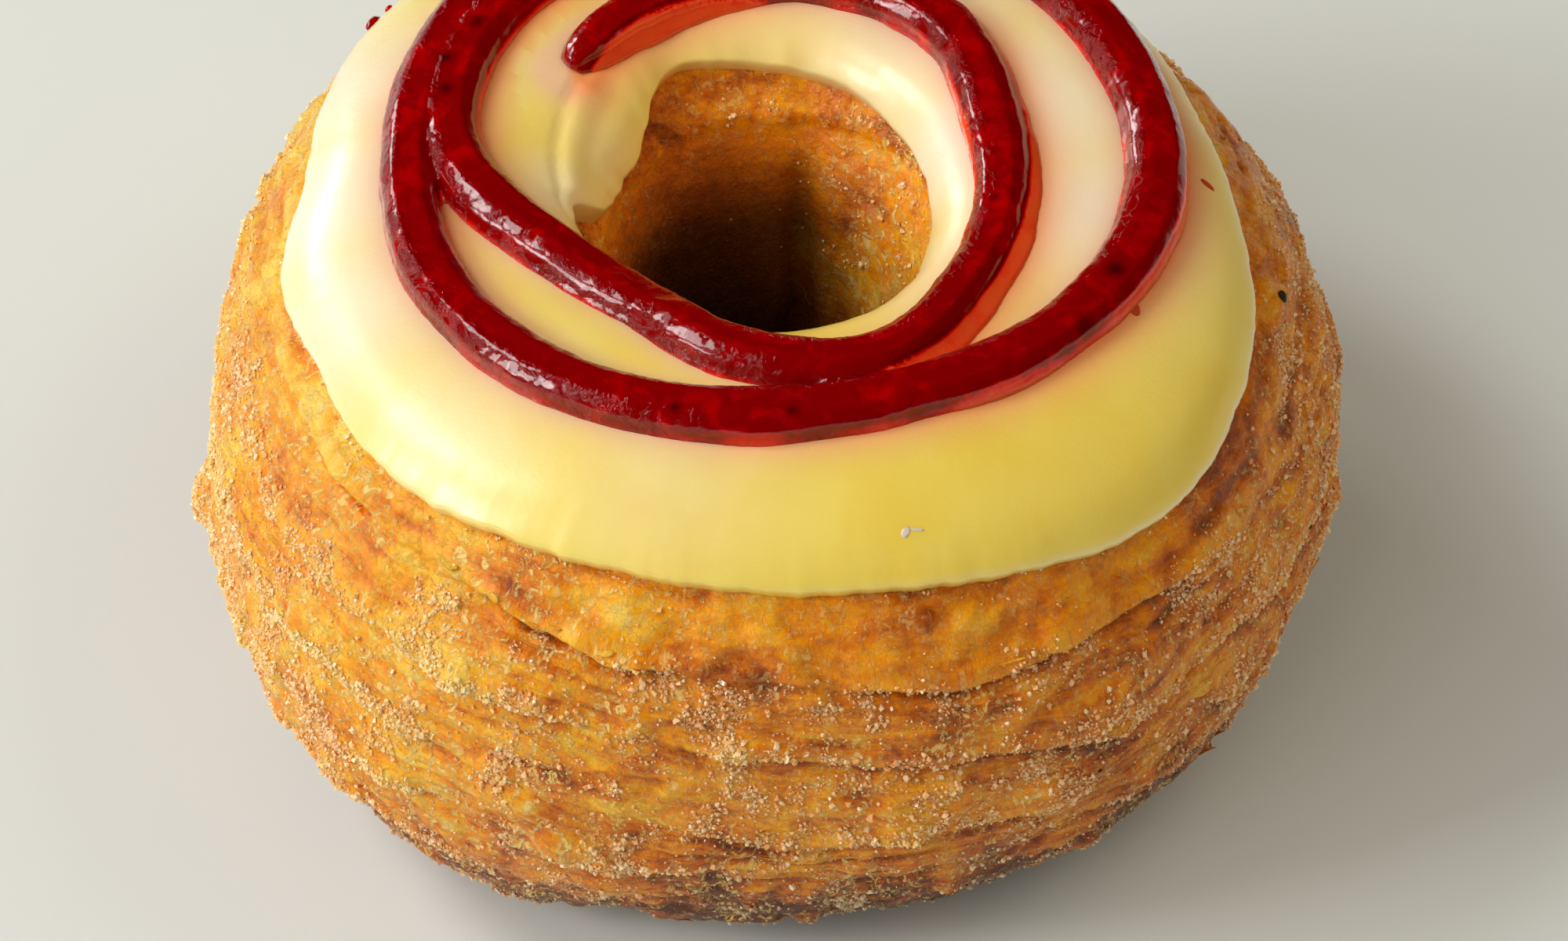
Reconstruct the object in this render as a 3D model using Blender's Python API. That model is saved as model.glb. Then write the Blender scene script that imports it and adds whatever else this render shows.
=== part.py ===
"""A croissant doughnut: a ring of layered pastry with icing on its crown and a swirl of jam on the icing.

Lengths are in metres. A place on the ring is given by two angles: one round the ring, anticlockwise from +X
seen from above, and one round its tube, from 0 at the outer girth over 90 on the crown to 180 in the hole.
"""

import math

import bmesh
import bpy
import numpy as np

# Driving sizes of the pastry ring
RING_AXIS_X = 0.0004
RING_AXIS_Y = 0.0002
CREST_RADIUS = 0.0240
GIRTH_HEIGHT = 0.0220
OUTER_REACH = 0.0207
HOLE_REACH = 0.0155
CROWN_RISE = 0.0222
FOOT_DROP = 0.0232

# Powers of the superellipse in the four quarters of the tube: a higher power makes a fuller corner
CROWN_OUTER_POWER = 2.2
CROWN_HOLE_POWER = 2.6
FOOT_OUTER_POWER = 2.2
FOOT_HOLE_POWER = 2.4

# The grooves between the layers of dough, from the lowest up: tube angles at eight places round the ring
GROOVES = (
    (-45, -43, -43, -42, -42, -40, -44, -46),
    (-29, -28, -27, -26, -28, -23, -28, -31),
    (-16, -14, -12, -11, -12, -5, -14, -18),
    (-4, 0, 2, 6, 14, 10, -5, -5),
    (6, 10, 14, 19, 28, 24, 15, 4),
    (26, 27, 29, 32, 43, 43, 30, 26),
)
GROOVE_DEPTH = 0.0012
GROOVE_LEAST = 0.35
GROOVE_WAVES = (3, 4, 2, 3, 4, 2)
GROOVE_PHASES = (20, 200, 310, 75, 150, 230)

# A layer's face from its lower groove to the next one up: share of the way, and relief in groove depths
LAYER_FACE = ((0.0, -1.0), (0.12, 0.45), (0.5, 0.3), (0.84, -0.25))
SKIN_LIP_TURN = 4.0
SKIN_LIP_RELIEF = 0.35

# Rows of faces below the lowest groove, and above the highest one up to the crown and down the hole
FOOT_TURNS = (-72.0, -62.0, -53.0)
SKIN_ROWS = 4
HOLE_TURNS = (90, 102, 114, 126, 138, 151, 164, 178, 193, 208, 224, 240, 256)
RING_SEGMENTS = 100

# Unevenness of the hand-cut ring: how far its girth stands out at twelve places, and its single features
GIRTH_STANDS_OUT = (
    -0.0008, -0.0026, -0.0024, -0.0014, 0.0003, -0.0007, -0.0014, 0.0013, 0.0019, -0.0007, 0.0002, -0.0006,
)
CROWN_WAVE = 0.0003
CROWN_WAVES = 3
CROWN_PHASE = 1.0
FLAKE_ANGLE, FLAKE_TURN = 189.5, -9.0
FLAKE_SPREAD, FLAKE_TURN_SPREAD = 3.2, 6.0
FLAKE_HEIGHT = 0.0019
HOLE_BULGE_ANGLE, HOLE_BULGE_SPREAD = 20.0, 28.0
HOLE_BULGE = 0.0012
HOLE_CREASE_ANGLE, HOLE_CREASE_SPREAD = 78.0, 9.0
HOLE_CREASE = 0.0011

# The icing: tube angles of its outer and its inner edge at twelve places round the ring
GAP = 0.0003
ICING_OUTER = (57, 60, 57, 53, 48, 45, 51, 52, 53, 53, 48, 45)
ICING_INNER = (131, 127, 121, 116, 115, 131, 121, 123, 126, 128, 129, 131)
ICING_THICKNESS = 0.0016
ICING_EDGE_POWER = 7.0
ICING_TOP_ROWS = 9
ICING_UNDER_ROWS = 6

# The jam strand: its distance from the ring's axis after each step of its clockwise way round
JAM_START_ANGLE = 143.0
JAM_STEP = 30.0
JAM_RADII = (
    0.0195, 0.0206, 0.0220, 0.0212, 0.0183, 0.0179, 0.0187, 0.0210, 0.0192,
    0.0163, 0.0184, 0.0252, 0.0272, 0.0286, 0.0300, 0.0308, 0.0297, 0.0289,
    0.0268, 0.0251, 0.0256, 0.0266, 0.0272, 0.0276, 0.0294, 0.0314,
)
JAM_WIDTH = 0.0046
JAM_HEIGHT = 0.0019
JAM_SECTIONS_PER_STEP = 6
JAM_SPLIT_STEP = 14.5
JAM_SPLIT_OVERLAP = 0.5
JAM_END_WIDTH = 0.35
JAM_SPLIT_WIDTH = 0.75
JAM_TAPER_STEPS = 0.5

# A cross-section of the strand, from its left foot clockwise: share of the half width, share of the height
JAM_SECTION = (
    (-0.85, 0.0), (-1.0, 0.4), (-0.66, 0.85), (0.0, 1.0), (0.66, 0.85), (1.0, 0.4), (0.85, 0.0), (0.0, 0.0),
)

PASTRY_COLOUR = (0.52, 0.22, 0.045, 1.0)
ICING_COLOUR = (0.86, 0.70, 0.26, 1.0)
JAM_COLOUR = (0.22, 0.004, 0.008, 1.0)


def clear_scene():
    """Removes whatever the file holds."""
    for thing in list(bpy.data.objects):
        bpy.data.objects.remove(thing)


def material(name, colour, roughness, coat):
    """A Principled material, with a clear coat on what is glazed."""
    made = bpy.data.materials.new(name)
    made.use_nodes = True
    shader = made.node_tree.nodes["Principled BSDF"]
    shader.inputs["Base Color"].default_value = colour
    shader.inputs["Roughness"].default_value = roughness
    shader.inputs["Metallic"].default_value = 0.0
    shader.inputs["Coat Weight"].default_value = coat
    return made


def read_stations(values, around):
    """A smooth closed curve through values spread evenly round the ring, read at angles in radians."""
    values = np.asarray(values, float)
    count = len(values)
    place = np.asarray(around) * count / (2 * math.pi)
    index = np.floor(place).astype(int)
    return read_curve(values, index, place - index)


def read_curve(values, index, share):
    """The Catmull-Rom curve through a ring of values, at a share of the way from one index to the next."""
    count = len(values)
    before, start, end, after = (values[(index + step) % count] for step in (-1, 0, 1, 2))
    leaving, arriving = (end - before) / 2, (after - start) / 2
    square, cube = share**2, share**3
    return (
        start * (2 * cube - 3 * square + 1)
        + leaving * (cube - 2 * square + share)
        + end * (3 * square - 2 * cube)
        + arriving * (cube - square)
    )


def hump(offset, spread):
    """A smooth hump of height 1 at offset 0."""
    return np.exp(-((offset / spread) ** 2))


def turned_from(around, degrees):
    """Degrees from a place round the ring, between -180 and 180."""
    return (np.degrees(around) - degrees + 180) % 360 - 180


def quarter_sizes(tube, lift):
    """The superellipse's power, reach and rise in the quarter of the tube that each angle lies in."""
    outer, upper = np.cos(tube) > 0, np.sin(tube) > 0
    crown_power = np.where(outer, CROWN_OUTER_POWER, CROWN_HOLE_POWER)
    foot_power = np.where(outer, FOOT_OUTER_POWER, FOOT_HOLE_POWER)
    power = np.where(upper, crown_power, foot_power)
    reach = np.where(outer, OUTER_REACH, HOLE_REACH) + lift
    rise = np.where(upper, CROWN_RISE, FOOT_DROP) + lift
    return power, reach, rise


def unevenness(around, tube):
    """How far the hand-cut ring stands out from an even one at its girth, its side flake and its hole."""
    cosine = np.cos(tube)
    outer = np.clip(cosine, 0, 1)
    inner = np.clip(-cosine, 0, 1)
    girth = read_stations(GIRTH_STANDS_OUT, around)
    turn = (np.degrees(tube) + 180) % 360 - 180
    flake = FLAKE_HEIGHT * hump(turned_from(around, FLAKE_ANGLE), FLAKE_SPREAD)
    flake = flake * hump(turn - FLAKE_TURN, FLAKE_TURN_SPREAD)
    bulge = HOLE_BULGE * hump(turned_from(around, HOLE_BULGE_ANGLE), HOLE_BULGE_SPREAD)
    crease = HOLE_CREASE * hump(turned_from(around, HOLE_CREASE_ANGLE), HOLE_CREASE_SPREAD)
    return outer**2 * (girth + flake) + inner**2 * (bulge - crease)


def ring_point(around, tube, lift):
    """Points of the ring, raised off its skin by lift. The foot is cut flat where the ring rests."""
    around, tube, lift = np.broadcast_arrays(around, tube, lift)
    cosine, sine = np.cos(tube), np.sin(tube)
    power, reach, rise = quarter_sizes(tube, lift + unevenness(around, tube))
    radius = CREST_RADIUS + reach * np.sign(cosine) * np.abs(cosine) ** (2 / power)
    height = GIRTH_HEIGHT + rise * np.sign(sine) * np.abs(sine) ** (2 / power)
    height = height + CROWN_WAVE * np.clip(sine, 0, 1) * np.cos(CROWN_WAVES * around - CROWN_PHASE)
    x = RING_AXIS_X + radius * np.cos(around)
    y = RING_AXIS_Y + radius * np.sin(around)
    return np.stack([x, y, np.maximum(height, 0)], -1)


def crown_turn(radius):
    """The tube angle, above the girth, of the icing's top at a distance from the ring's axis."""
    offset = radius - CREST_RADIUS
    reach = np.where(offset > 0, OUTER_REACH, HOLE_REACH) + GAP + ICING_THICKNESS
    power = np.where(offset > 0, CROWN_OUTER_POWER, CROWN_HOLE_POWER)
    cosine = np.sign(offset) * (np.abs(offset) / reach) ** (power / 2)
    return np.arccos(cosine)


def closed_grid(name, rows):
    """A mesh object from rows of points, each row a closed loop and the last row joined to the first."""
    shape = bmesh.new()
    loops = [[shape.verts.new(point) for point in row] for row in rows]
    for lower, upper in zip(loops, loops[1:] + loops[:1]):
        add_band(shape, lower, upper)
    return finished_object(name, shape)


def add_band(shape, lower, upper):
    """A closed band of faces between two loops of points."""
    count = len(lower)
    for index in range(count):
        after = (index + 1) % count
        shape.faces.new((lower[index], lower[after], upper[after], upper[index]))


def finished_object(name, shape):
    """Writes a bmesh to a new object with its faces turned outwards."""
    bmesh.ops.recalc_face_normals(shape, faces=shape.faces)
    mesh = bpy.data.meshes.new(name)
    shape.to_mesh(mesh)
    shape.free()
    made = bpy.data.objects.new(name, mesh)
    bpy.context.scene.collection.objects.link(made)
    return made


def finish_surface(piece, finish, sharp_degrees):
    """Gives a piece its material and shades it smooth up to an angle."""
    piece.data.materials.clear()
    piece.data.materials.append(finish)
    piece.data.shade_smooth()
    piece.data.set_sharp_from_angle(angle=math.radians(sharp_degrees))


def groove_strength(index, around):
    """How deep a groove is along its way round, as a share of the groove depth."""
    wave = np.cos(GROOVE_WAVES[index] * around + math.radians(GROOVE_PHASES[index]))
    return GROOVE_LEAST + (1 - GROOVE_LEAST) * (wave + 1) / 2


def layer_rows(around):
    """Tube angles and relief of the rows that follow the layers, from the lowest groove to the highest."""
    turns = [read_stations(groove, around) for groove in GROOVES]
    depths = [GROOVE_DEPTH * groove_strength(index, around) for index in range(len(GROOVES))]
    rows = []
    for index in range(len(GROOVES) - 1):
        for share, relief in LAYER_FACE:
            turn = turns[index] * (1 - share) + turns[index + 1] * share
            nearer = depths[index + 1] if share > 0.5 else depths[index]
            rows.append((turn, relief * nearer))
    rows.append((turns[-1], -depths[-1]))
    rows.append((turns[-1] + SKIN_LIP_TURN, SKIN_LIP_RELIEF * depths[-1]))
    return rows


def pastry_rows(around):
    """Tube angles and relief of every row of the pastry, from the flat foot over the crown into the hole."""
    flat = np.zeros_like(around)
    rows = [(flat + turn, flat) for turn in FOOT_TURNS]
    rows += layer_rows(around)
    lip_turn = rows[-1][0]
    for step in range(1, SKIN_ROWS):
        share = step / SKIN_ROWS
        rows.append((lip_turn * (1 - share) + HOLE_TURNS[0] * share, flat))
    rows += [(flat + turn, flat) for turn in HOLE_TURNS]
    return rows


def pastry():
    """The ring of pastry, with the edges of its layers standing out round its side."""
    around = np.arange(RING_SEGMENTS) * (2 * math.pi / RING_SEGMENTS)
    rows = [ring_point(around, np.radians(turn), relief) for turn, relief in pastry_rows(around)]
    made = closed_grid("pastry", rows)
    finish_surface(made, material("crust", PASTRY_COLOUR, roughness=0.5, coat=0.0), sharp_degrees=45)
    return made


def icing_section():
    """The icing's cross-section: share of the way from outer to inner edge, and share of the thickness."""
    section = []
    for row in range(ICING_TOP_ROWS + 1):
        side = -math.cos(math.pi * row / ICING_TOP_ROWS)
        height = (1 - abs(side) ** ICING_EDGE_POWER) ** (1 / ICING_EDGE_POWER)
        section.append(((side + 1) / 2, height))
    for row in range(1, ICING_UNDER_ROWS):
        section.append((1 - row / ICING_UNDER_ROWS, 0.0))
    return section


def icing():
    """The coat of icing, a thin ring with a rounded edge, just clear of the pastry."""
    around = np.arange(RING_SEGMENTS) * (2 * math.pi / RING_SEGMENTS)
    outer = np.radians(read_stations(ICING_OUTER, around))
    inner = np.radians(read_stations(ICING_INNER, around))
    rows = []
    for share, height in icing_section():
        tube = outer * (1 - share) + inner * share
        rows.append(ring_point(around, tube, GAP + ICING_THICKNESS * height))
    made = closed_grid("icing", rows)
    finish_surface(made, material("icing_glaze", ICING_COLOUR, roughness=0.25, coat=0.3), sharp_degrees=60)
    return made


def jam_route(steps):
    """The strand's centre line: its angle round the ring in radians and its distance from the axis."""
    last = len(JAM_RADII) - 1
    padded = np.array((*JAM_RADII, 2 * JAM_RADII[-1] - JAM_RADII[-2], 2 * JAM_RADII[0] - JAM_RADII[1]))
    index = np.clip(np.floor(steps).astype(int), 0, last - 1)
    radius = read_curve(padded, index, steps - index)
    return np.radians(JAM_START_ANGLE - JAM_STEP * steps), radius


def jam_strand(name, first, last, first_width, last_width):
    """One stretch of the strand, from one step to another of its way, narrowing to each end."""
    count = round((last - first) * JAM_SECTIONS_PER_STEP) + 1
    steps = np.linspace(first, last, count)
    around, radius = jam_route(steps)
    centre = np.stack([radius * np.cos(around), radius * np.sin(around)], -1)
    along = np.gradient(centre, axis=0)
    along /= np.linalg.norm(along, axis=1)[:, None]
    left = np.stack([-along[:, 1], along[:, 0]], -1)
    opening = first_width + (1 - first_width) * np.clip((steps - first) / JAM_TAPER_STEPS, 0, 1)
    closing = last_width + (1 - last_width) * np.clip((last - steps) / JAM_TAPER_STEPS, 0, 1)
    size = np.sqrt(opening * closing)
    columns = []
    for side, height in JAM_SECTION:
        place = centre + left * (side * size * JAM_WIDTH / 2)[:, None]
        tube = crown_turn(np.hypot(place[:, 0], place[:, 1]))
        lift = 2 * GAP + ICING_THICKNESS + JAM_HEIGHT * height * size
        columns.append(ring_point(np.arctan2(place[:, 1], place[:, 0]), tube, lift))
    return capped_tube(name, np.stack(columns, 1))


def capped_tube(name, sections):
    """A mesh object from closed cross-sections in a line, with a face on each end."""
    shape = bmesh.new()
    loops = [[shape.verts.new(point) for point in section] for section in sections]
    for lower, upper in zip(loops, loops[1:]):
        add_band(shape, lower, upper)
    shape.faces.new(loops[0])
    shape.faces.new(loops[-1])
    return finished_object(name, shape)


def fused(pieces, name):
    """Joins overlapping pieces into one solid and removes them."""
    group = bpy.data.collections.new("to_join")
    for piece in pieces[1:]:
        group.objects.link(piece)
    join = pieces[0].modifiers.new("join", "BOOLEAN")
    join.operation = "UNION"
    join.operand_type = "COLLECTION"
    join.collection = group
    join.solver = "EXACT"
    graph = bpy.context.evaluated_depsgraph_get()
    mesh = bpy.data.meshes.new_from_object(pieces[0].evaluated_get(graph))
    mesh.name = name
    for piece in pieces:
        bpy.data.objects.remove(piece)
    bpy.data.collections.remove(group)
    made = bpy.data.objects.new(name, mesh)
    bpy.context.scene.collection.objects.link(made)
    return made


def jam_swirl():
    """The two turns of jam, piped clockwise from the hole outwards, as one solid."""
    end = len(JAM_RADII) - 1
    inner = jam_strand("jam_inner", 0, JAM_SPLIT_STEP, JAM_END_WIDTH, JAM_SPLIT_WIDTH)
    outer_start = JAM_SPLIT_STEP - JAM_SPLIT_OVERLAP
    outer = jam_strand("jam_outer", outer_start, end, JAM_END_WIDTH, JAM_END_WIDTH)
    made = fused([inner, outer], "jam_swirl")
    finish_surface(made, material("jam_gel", JAM_COLOUR, roughness=0.15, coat=0.5), sharp_degrees=40)
    return made


def main():
    clear_scene()
    pastry()
    icing()
    jam_swirl()


main()
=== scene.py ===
"""The looks of a croissant doughnut: its crust, icing, jam, sugar and flakes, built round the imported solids.

Lengths are in metres. A place on the ring is given by two angles: one round the ring, anticlockwise from +X
seen from above, and one round its tube, from 0 at the outer girth over 90 on the crown to 180 in the hole.
"""

import math

import bmesh
import bpy
import numpy as np
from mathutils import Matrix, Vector, kdtree, noise


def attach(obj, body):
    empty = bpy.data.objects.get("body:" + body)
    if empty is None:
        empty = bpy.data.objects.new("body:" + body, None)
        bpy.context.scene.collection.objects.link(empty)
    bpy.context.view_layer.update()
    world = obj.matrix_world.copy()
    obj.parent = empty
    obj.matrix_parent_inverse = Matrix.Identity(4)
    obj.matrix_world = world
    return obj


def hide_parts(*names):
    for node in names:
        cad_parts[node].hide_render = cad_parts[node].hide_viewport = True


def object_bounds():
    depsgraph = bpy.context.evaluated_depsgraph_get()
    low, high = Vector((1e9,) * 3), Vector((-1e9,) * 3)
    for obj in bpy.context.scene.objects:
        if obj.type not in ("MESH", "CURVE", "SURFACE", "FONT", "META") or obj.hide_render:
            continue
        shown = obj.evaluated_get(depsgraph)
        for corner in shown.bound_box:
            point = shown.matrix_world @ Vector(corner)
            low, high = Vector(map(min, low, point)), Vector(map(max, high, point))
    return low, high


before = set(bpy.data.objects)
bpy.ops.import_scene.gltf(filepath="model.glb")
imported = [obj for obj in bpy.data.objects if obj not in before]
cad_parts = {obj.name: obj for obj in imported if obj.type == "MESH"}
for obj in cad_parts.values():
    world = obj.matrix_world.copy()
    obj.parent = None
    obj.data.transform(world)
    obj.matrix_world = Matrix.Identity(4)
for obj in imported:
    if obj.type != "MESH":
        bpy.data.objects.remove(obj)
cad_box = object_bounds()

MM = 0.001
BODY = "root"

# The ring's driving sizes, as in its solids
RING_AXIS_X = 0.0004
RING_AXIS_Y = 0.0002
CREST_RADIUS = 0.0240
GIRTH_HEIGHT = 0.0220
OUTER_REACH = 0.0207
HOLE_REACH = 0.0155
CROWN_RISE = 0.0222
FOOT_DROP = 0.0232
CROWN_OUTER_POWER = 2.2
CROWN_HOLE_POWER = 2.6
FOOT_OUTER_POWER = 2.2
FOOT_HOLE_POWER = 2.4
GROOVES = (
    (-45, -43, -43, -42, -42, -40, -44, -46),
    (-29, -28, -27, -26, -28, -23, -28, -31),
    (-16, -14, -12, -11, -12, -5, -14, -18),
    (-4, 0, 2, 6, 14, 10, -5, -5),
    (6, 10, 14, 19, 28, 24, 15, 4),
    (26, 27, 29, 32, 43, 43, 30, 26),
)
GROOVE_DEPTH = 0.0012
GROOVE_LEAST = 0.35
GROOVE_WAVES = (3, 4, 2, 3, 4, 2)
GROOVE_PHASES = (20, 200, 310, 75, 150, 230)
GIRTH_STANDS_OUT = (
    -0.0008, -0.0026, -0.0024, -0.0014, 0.0003, -0.0007, -0.0014, 0.0013, 0.0019, -0.0007, 0.0002, -0.0006,
)
CROWN_WAVE = 0.0003
CROWN_WAVES = 3
CROWN_PHASE = 1.0
FLAKE_ANGLE, FLAKE_TURN = 189.5, -9.0
FLAKE_SPREAD, FLAKE_TURN_SPREAD = 3.2, 6.0
FLAKE_HEIGHT = 0.0019
HOLE_BULGE_ANGLE, HOLE_BULGE_SPREAD = 20.0, 28.0
HOLE_BULGE = 0.0012
HOLE_CREASE_ANGLE, HOLE_CREASE_SPREAD = 78.0, 9.0
HOLE_CREASE = 0.0011
ICING_LIFT = 0.0019

# The jam strand's centre line, as in its solid: distance from the axis after each step of its clockwise way
JAM_START_ANGLE = 143.0
JAM_STEP = 30.0
JAM_RADII = (
    0.0195, 0.0206, 0.0220, 0.0212, 0.0183, 0.0179, 0.0187, 0.0210, 0.0192,
    0.0163, 0.0184, 0.0245, 0.0272, 0.0286, 0.0300, 0.0308, 0.0297, 0.0289,
    0.0268, 0.0251, 0.0256, 0.0266, 0.0272, 0.0276, 0.0294, 0.0314,
)
JAM_WIDTH = 0.0046
JAM_HEIGHT = 0.0021
JAM_SPLIT_STEP = 14.5
JAM_SPLIT_OVERLAP = 0.5
JAM_END_WIDTH = 0.10
JAM_SPLIT_WIDTH = 0.55
JAM_TAPER_STEPS = 0.75
JAM_SECTIONS_PER_STEP = 26
JAM_VOXEL = 0.00024

# The fine crust: rows of faces in each span of the tube, from the foot over the layers and the crown to the hole
CRUST_SEGMENTS = 448
CRUST_INSET = 0.00045
FOOT_TURN, SKIN_TURN, ROOF_TURN, THROAT_TURN, HOLE_END_TURN = -72.0, 66.0, 112.0, 190.0, 256.0
SPAN_ROWS = (6, 24, 24, 24, 24, 24, 38, 6, 42, 9)
ROW_CROWDING = 1.35

# A layer's face from its lower groove to the next one up: share of the way, and relief in groove depths
LAYER_SHARES = (0.0, 0.035, 0.07, 0.11, 0.2, 0.5, 0.84, 0.95, 1.0)
LAYER_RELIEF = (-1.0, -0.75, 0.1, 0.5, 0.55, 0.3, -0.15, -0.5, -1.0)
SKIN_EDGE_DEGREES = (0.0, 0.6, 1.4, 2.2, 4.0, 9.0)
SKIN_EDGE_RELIEF = (-1.0, -0.7, 0.1, 0.5, 0.4, 0.0)
FOOT_EDGE_DEGREES = (0.0, 1.5, 4.0)
FOOT_EDGE_RELIEF = (-1.0, -0.3, 0.0)


def read_curve(values, index, share):
    """The Catmull-Rom curve through values, at a share of the way from one index to the next, wrapping round."""
    count = len(values)
    before, start, end, after = (values[(index + step) % count] for step in (-1, 0, 1, 2))
    leaving, arriving = (end - before) / 2, (after - start) / 2
    square, cube = share**2, share**3
    return (
        start * (2 * cube - 3 * square + 1)
        + leaving * (cube - 2 * square + share)
        + end * (3 * square - 2 * cube)
        + arriving * (cube - square)
    )


def read_stations(values, around):
    """A smooth closed curve through values spread evenly round the ring, read at angles in radians."""
    values = np.asarray(values, float)
    count = len(values)
    place = np.asarray(around) * count / (2 * math.pi)
    index = np.floor(place).astype(int)
    return read_curve(values, index, place - index)


def read_places(places, around):
    """A closed curve through (degrees, value) places round the ring, read at angles in radians."""
    places = sorted(places)
    angles = np.array([place[0] for place in places], float)
    values = np.array([place[1] for place in places], float)
    angles = np.concatenate([angles[-2:] - 360, angles, angles[:2] + 360])
    values = np.concatenate([values[-2:], values, values[:2]])
    slopes = np.gradient(values, angles)
    degrees = np.degrees(around) % 360
    index = np.clip(np.searchsorted(angles, degrees, side="right") - 1, 0, len(angles) - 2)
    width = angles[index + 1] - angles[index]
    share = (degrees - angles[index]) / width
    square, cube = share**2, share**3
    return (
        values[index] * (2 * cube - 3 * square + 1)
        + slopes[index] * width * (cube - 2 * square + share)
        + values[index + 1] * (3 * square - 2 * cube)
        + slopes[index + 1] * width * (cube - square)
    )


def hump(offset, spread):
    """A smooth hump of height 1 at offset 0."""
    return np.exp(-((offset / spread) ** 2))


def smooth_step(low, high, value):
    """0 below low, 1 above high and a smooth rise between them."""
    share = np.clip((value - low) / (high - low), 0, 1)
    return share * share * (3 - 2 * share)


def turned_from(around, degrees):
    """Degrees from a place round the ring, between -180 and 180."""
    return (np.degrees(around) - degrees + 180) % 360 - 180


def noise_field(points, size, seed, octaves=3):
    """Smooth noise from about -1 to 1 at points, with its largest lumps about size across."""
    shift = Vector((17.3 * seed, -9.1 * seed, 5.7 * seed))
    flat = (points / size).reshape(-1, 3).tolist()
    values = [noise.fractal(Vector(point) + shift, 0.9, 2.0, octaves) for point in flat]
    return np.array(values).reshape(points.shape[:-1])


def quarter_sizes(tube, lift):
    """The superellipse's power, reach and rise in the quarter of the tube that each angle lies in."""
    outer, upper = np.cos(tube) > 0, np.sin(tube) > 0
    crown_power = np.where(outer, CROWN_OUTER_POWER, CROWN_HOLE_POWER)
    foot_power = np.where(outer, FOOT_OUTER_POWER, FOOT_HOLE_POWER)
    power = np.where(upper, crown_power, foot_power)
    reach = np.where(outer, OUTER_REACH, HOLE_REACH) + lift
    rise = np.where(upper, CROWN_RISE, FOOT_DROP) + lift
    return power, reach, rise


def unevenness(around, tube):
    """How far the hand-cut ring stands out from an even one at its girth, its side flake and its hole."""
    cosine = np.cos(tube)
    outer = np.clip(cosine, 0, 1)
    inner = np.clip(-cosine, 0, 1)
    girth = read_stations(GIRTH_STANDS_OUT, around)
    turn = (np.degrees(tube) + 180) % 360 - 180
    flake = FLAKE_HEIGHT * hump(turned_from(around, FLAKE_ANGLE), FLAKE_SPREAD)
    flake = flake * hump(turn - FLAKE_TURN, FLAKE_TURN_SPREAD)
    bulge = HOLE_BULGE * hump(turned_from(around, HOLE_BULGE_ANGLE), HOLE_BULGE_SPREAD)
    crease = HOLE_CREASE * hump(turned_from(around, HOLE_CREASE_ANGLE), HOLE_CREASE_SPREAD)
    return outer**2 * (girth + flake) + inner**2 * (bulge - crease)


def ring_point(around, tube, lift):
    """Points of the ring, raised off its skin by lift. The foot is cut flat where the ring rests."""
    around, tube, lift = np.broadcast_arrays(around, tube, lift)
    cosine, sine = np.cos(tube), np.sin(tube)
    power, reach, rise = quarter_sizes(tube, lift + unevenness(around, tube))
    radius = CREST_RADIUS + reach * np.sign(cosine) * np.abs(cosine) ** (2 / power)
    height = GIRTH_HEIGHT + rise * np.sign(sine) * np.abs(sine) ** (2 / power)
    height = height + CROWN_WAVE * np.clip(sine, 0, 1) * np.cos(CROWN_WAVES * around - CROWN_PHASE)
    x = RING_AXIS_X + radius * np.cos(around)
    y = RING_AXIS_Y + radius * np.sin(around)
    return np.stack([x, y, np.maximum(height, 0)], -1)


def crown_turn(radius):
    """The tube angle, above the girth, of the icing's top at a distance from the ring's axis."""
    offset = radius - CREST_RADIUS
    reach = np.where(offset > 0, OUTER_REACH, HOLE_REACH) + ICING_LIFT
    power = np.where(offset > 0, CROWN_OUTER_POWER, CROWN_HOLE_POWER)
    cosine = np.sign(offset) * (np.abs(offset) / reach) ** (power / 2)
    return np.arccos(cosine)


def mesh_object(name, points, faces):
    """A mesh object from an array of points and a list of faces, shaded smooth."""
    mesh = bpy.data.meshes.new(name)
    mesh.from_pydata(points.reshape(-1, 3).tolist(), [], faces)
    mesh.update()
    mesh.shade_smooth()
    made = bpy.data.objects.new(name, mesh)
    bpy.context.scene.collection.objects.link(made)
    return made


def ring_faces(rows, segments):
    """The faces of a grid of points that is closed both ways, row by row."""
    faces = []
    for row in range(rows):
        start, following = row * segments, (row + 1) % rows * segments
        for index in range(segments):
            after = (index + 1) % segments
            faces.append((start + index, start + after, following + after, following + index))
    return faces


def grid_normals(points):
    """Outward normals of a grid of points that is closed both ways."""
    along = np.roll(points, -1, 1) - np.roll(points, 1, 1)
    across = np.roll(points, -1, 0) - np.roll(points, 1, 0)
    normals = np.cross(along, across)
    return normals / np.maximum(np.linalg.norm(normals, axis=-1, keepdims=True), 1e-12)


def held_in_box(points):
    """Points kept inside the box of the solids."""
    return np.clip(points, *(np.array(corner) for corner in cad_box))


def add_attribute(piece, name, values):
    """Stores one number or one vector for each point of a piece, for its material to read."""
    values = np.asarray(values, np.float32)
    kind = "FLOAT" if values.ndim == 1 else "FLOAT_VECTOR"
    stored = piece.data.attributes.new(name, kind, "POINT")
    stored.data.foreach_set("value" if kind == "FLOAT" else "vector", values.ravel())


def add_node(tree, kind, values=(), **settings):
    """A node with its settings, its inputs linked from sockets or set to plain values."""
    made = tree.nodes.new(kind)
    for name, value in settings.items():
        setattr(made, name, value)
    for name, value in dict(values).items():
        if isinstance(value, bpy.types.NodeSocket):
            tree.links.new(value, made.inputs[name])
        else:
            made.inputs[name].default_value = value
    return made


def read_attribute(tree, name):
    """The socket of a stored number or vector."""
    made = add_node(tree, "ShaderNodeAttribute", attribute_name=name)
    return made.outputs


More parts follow.
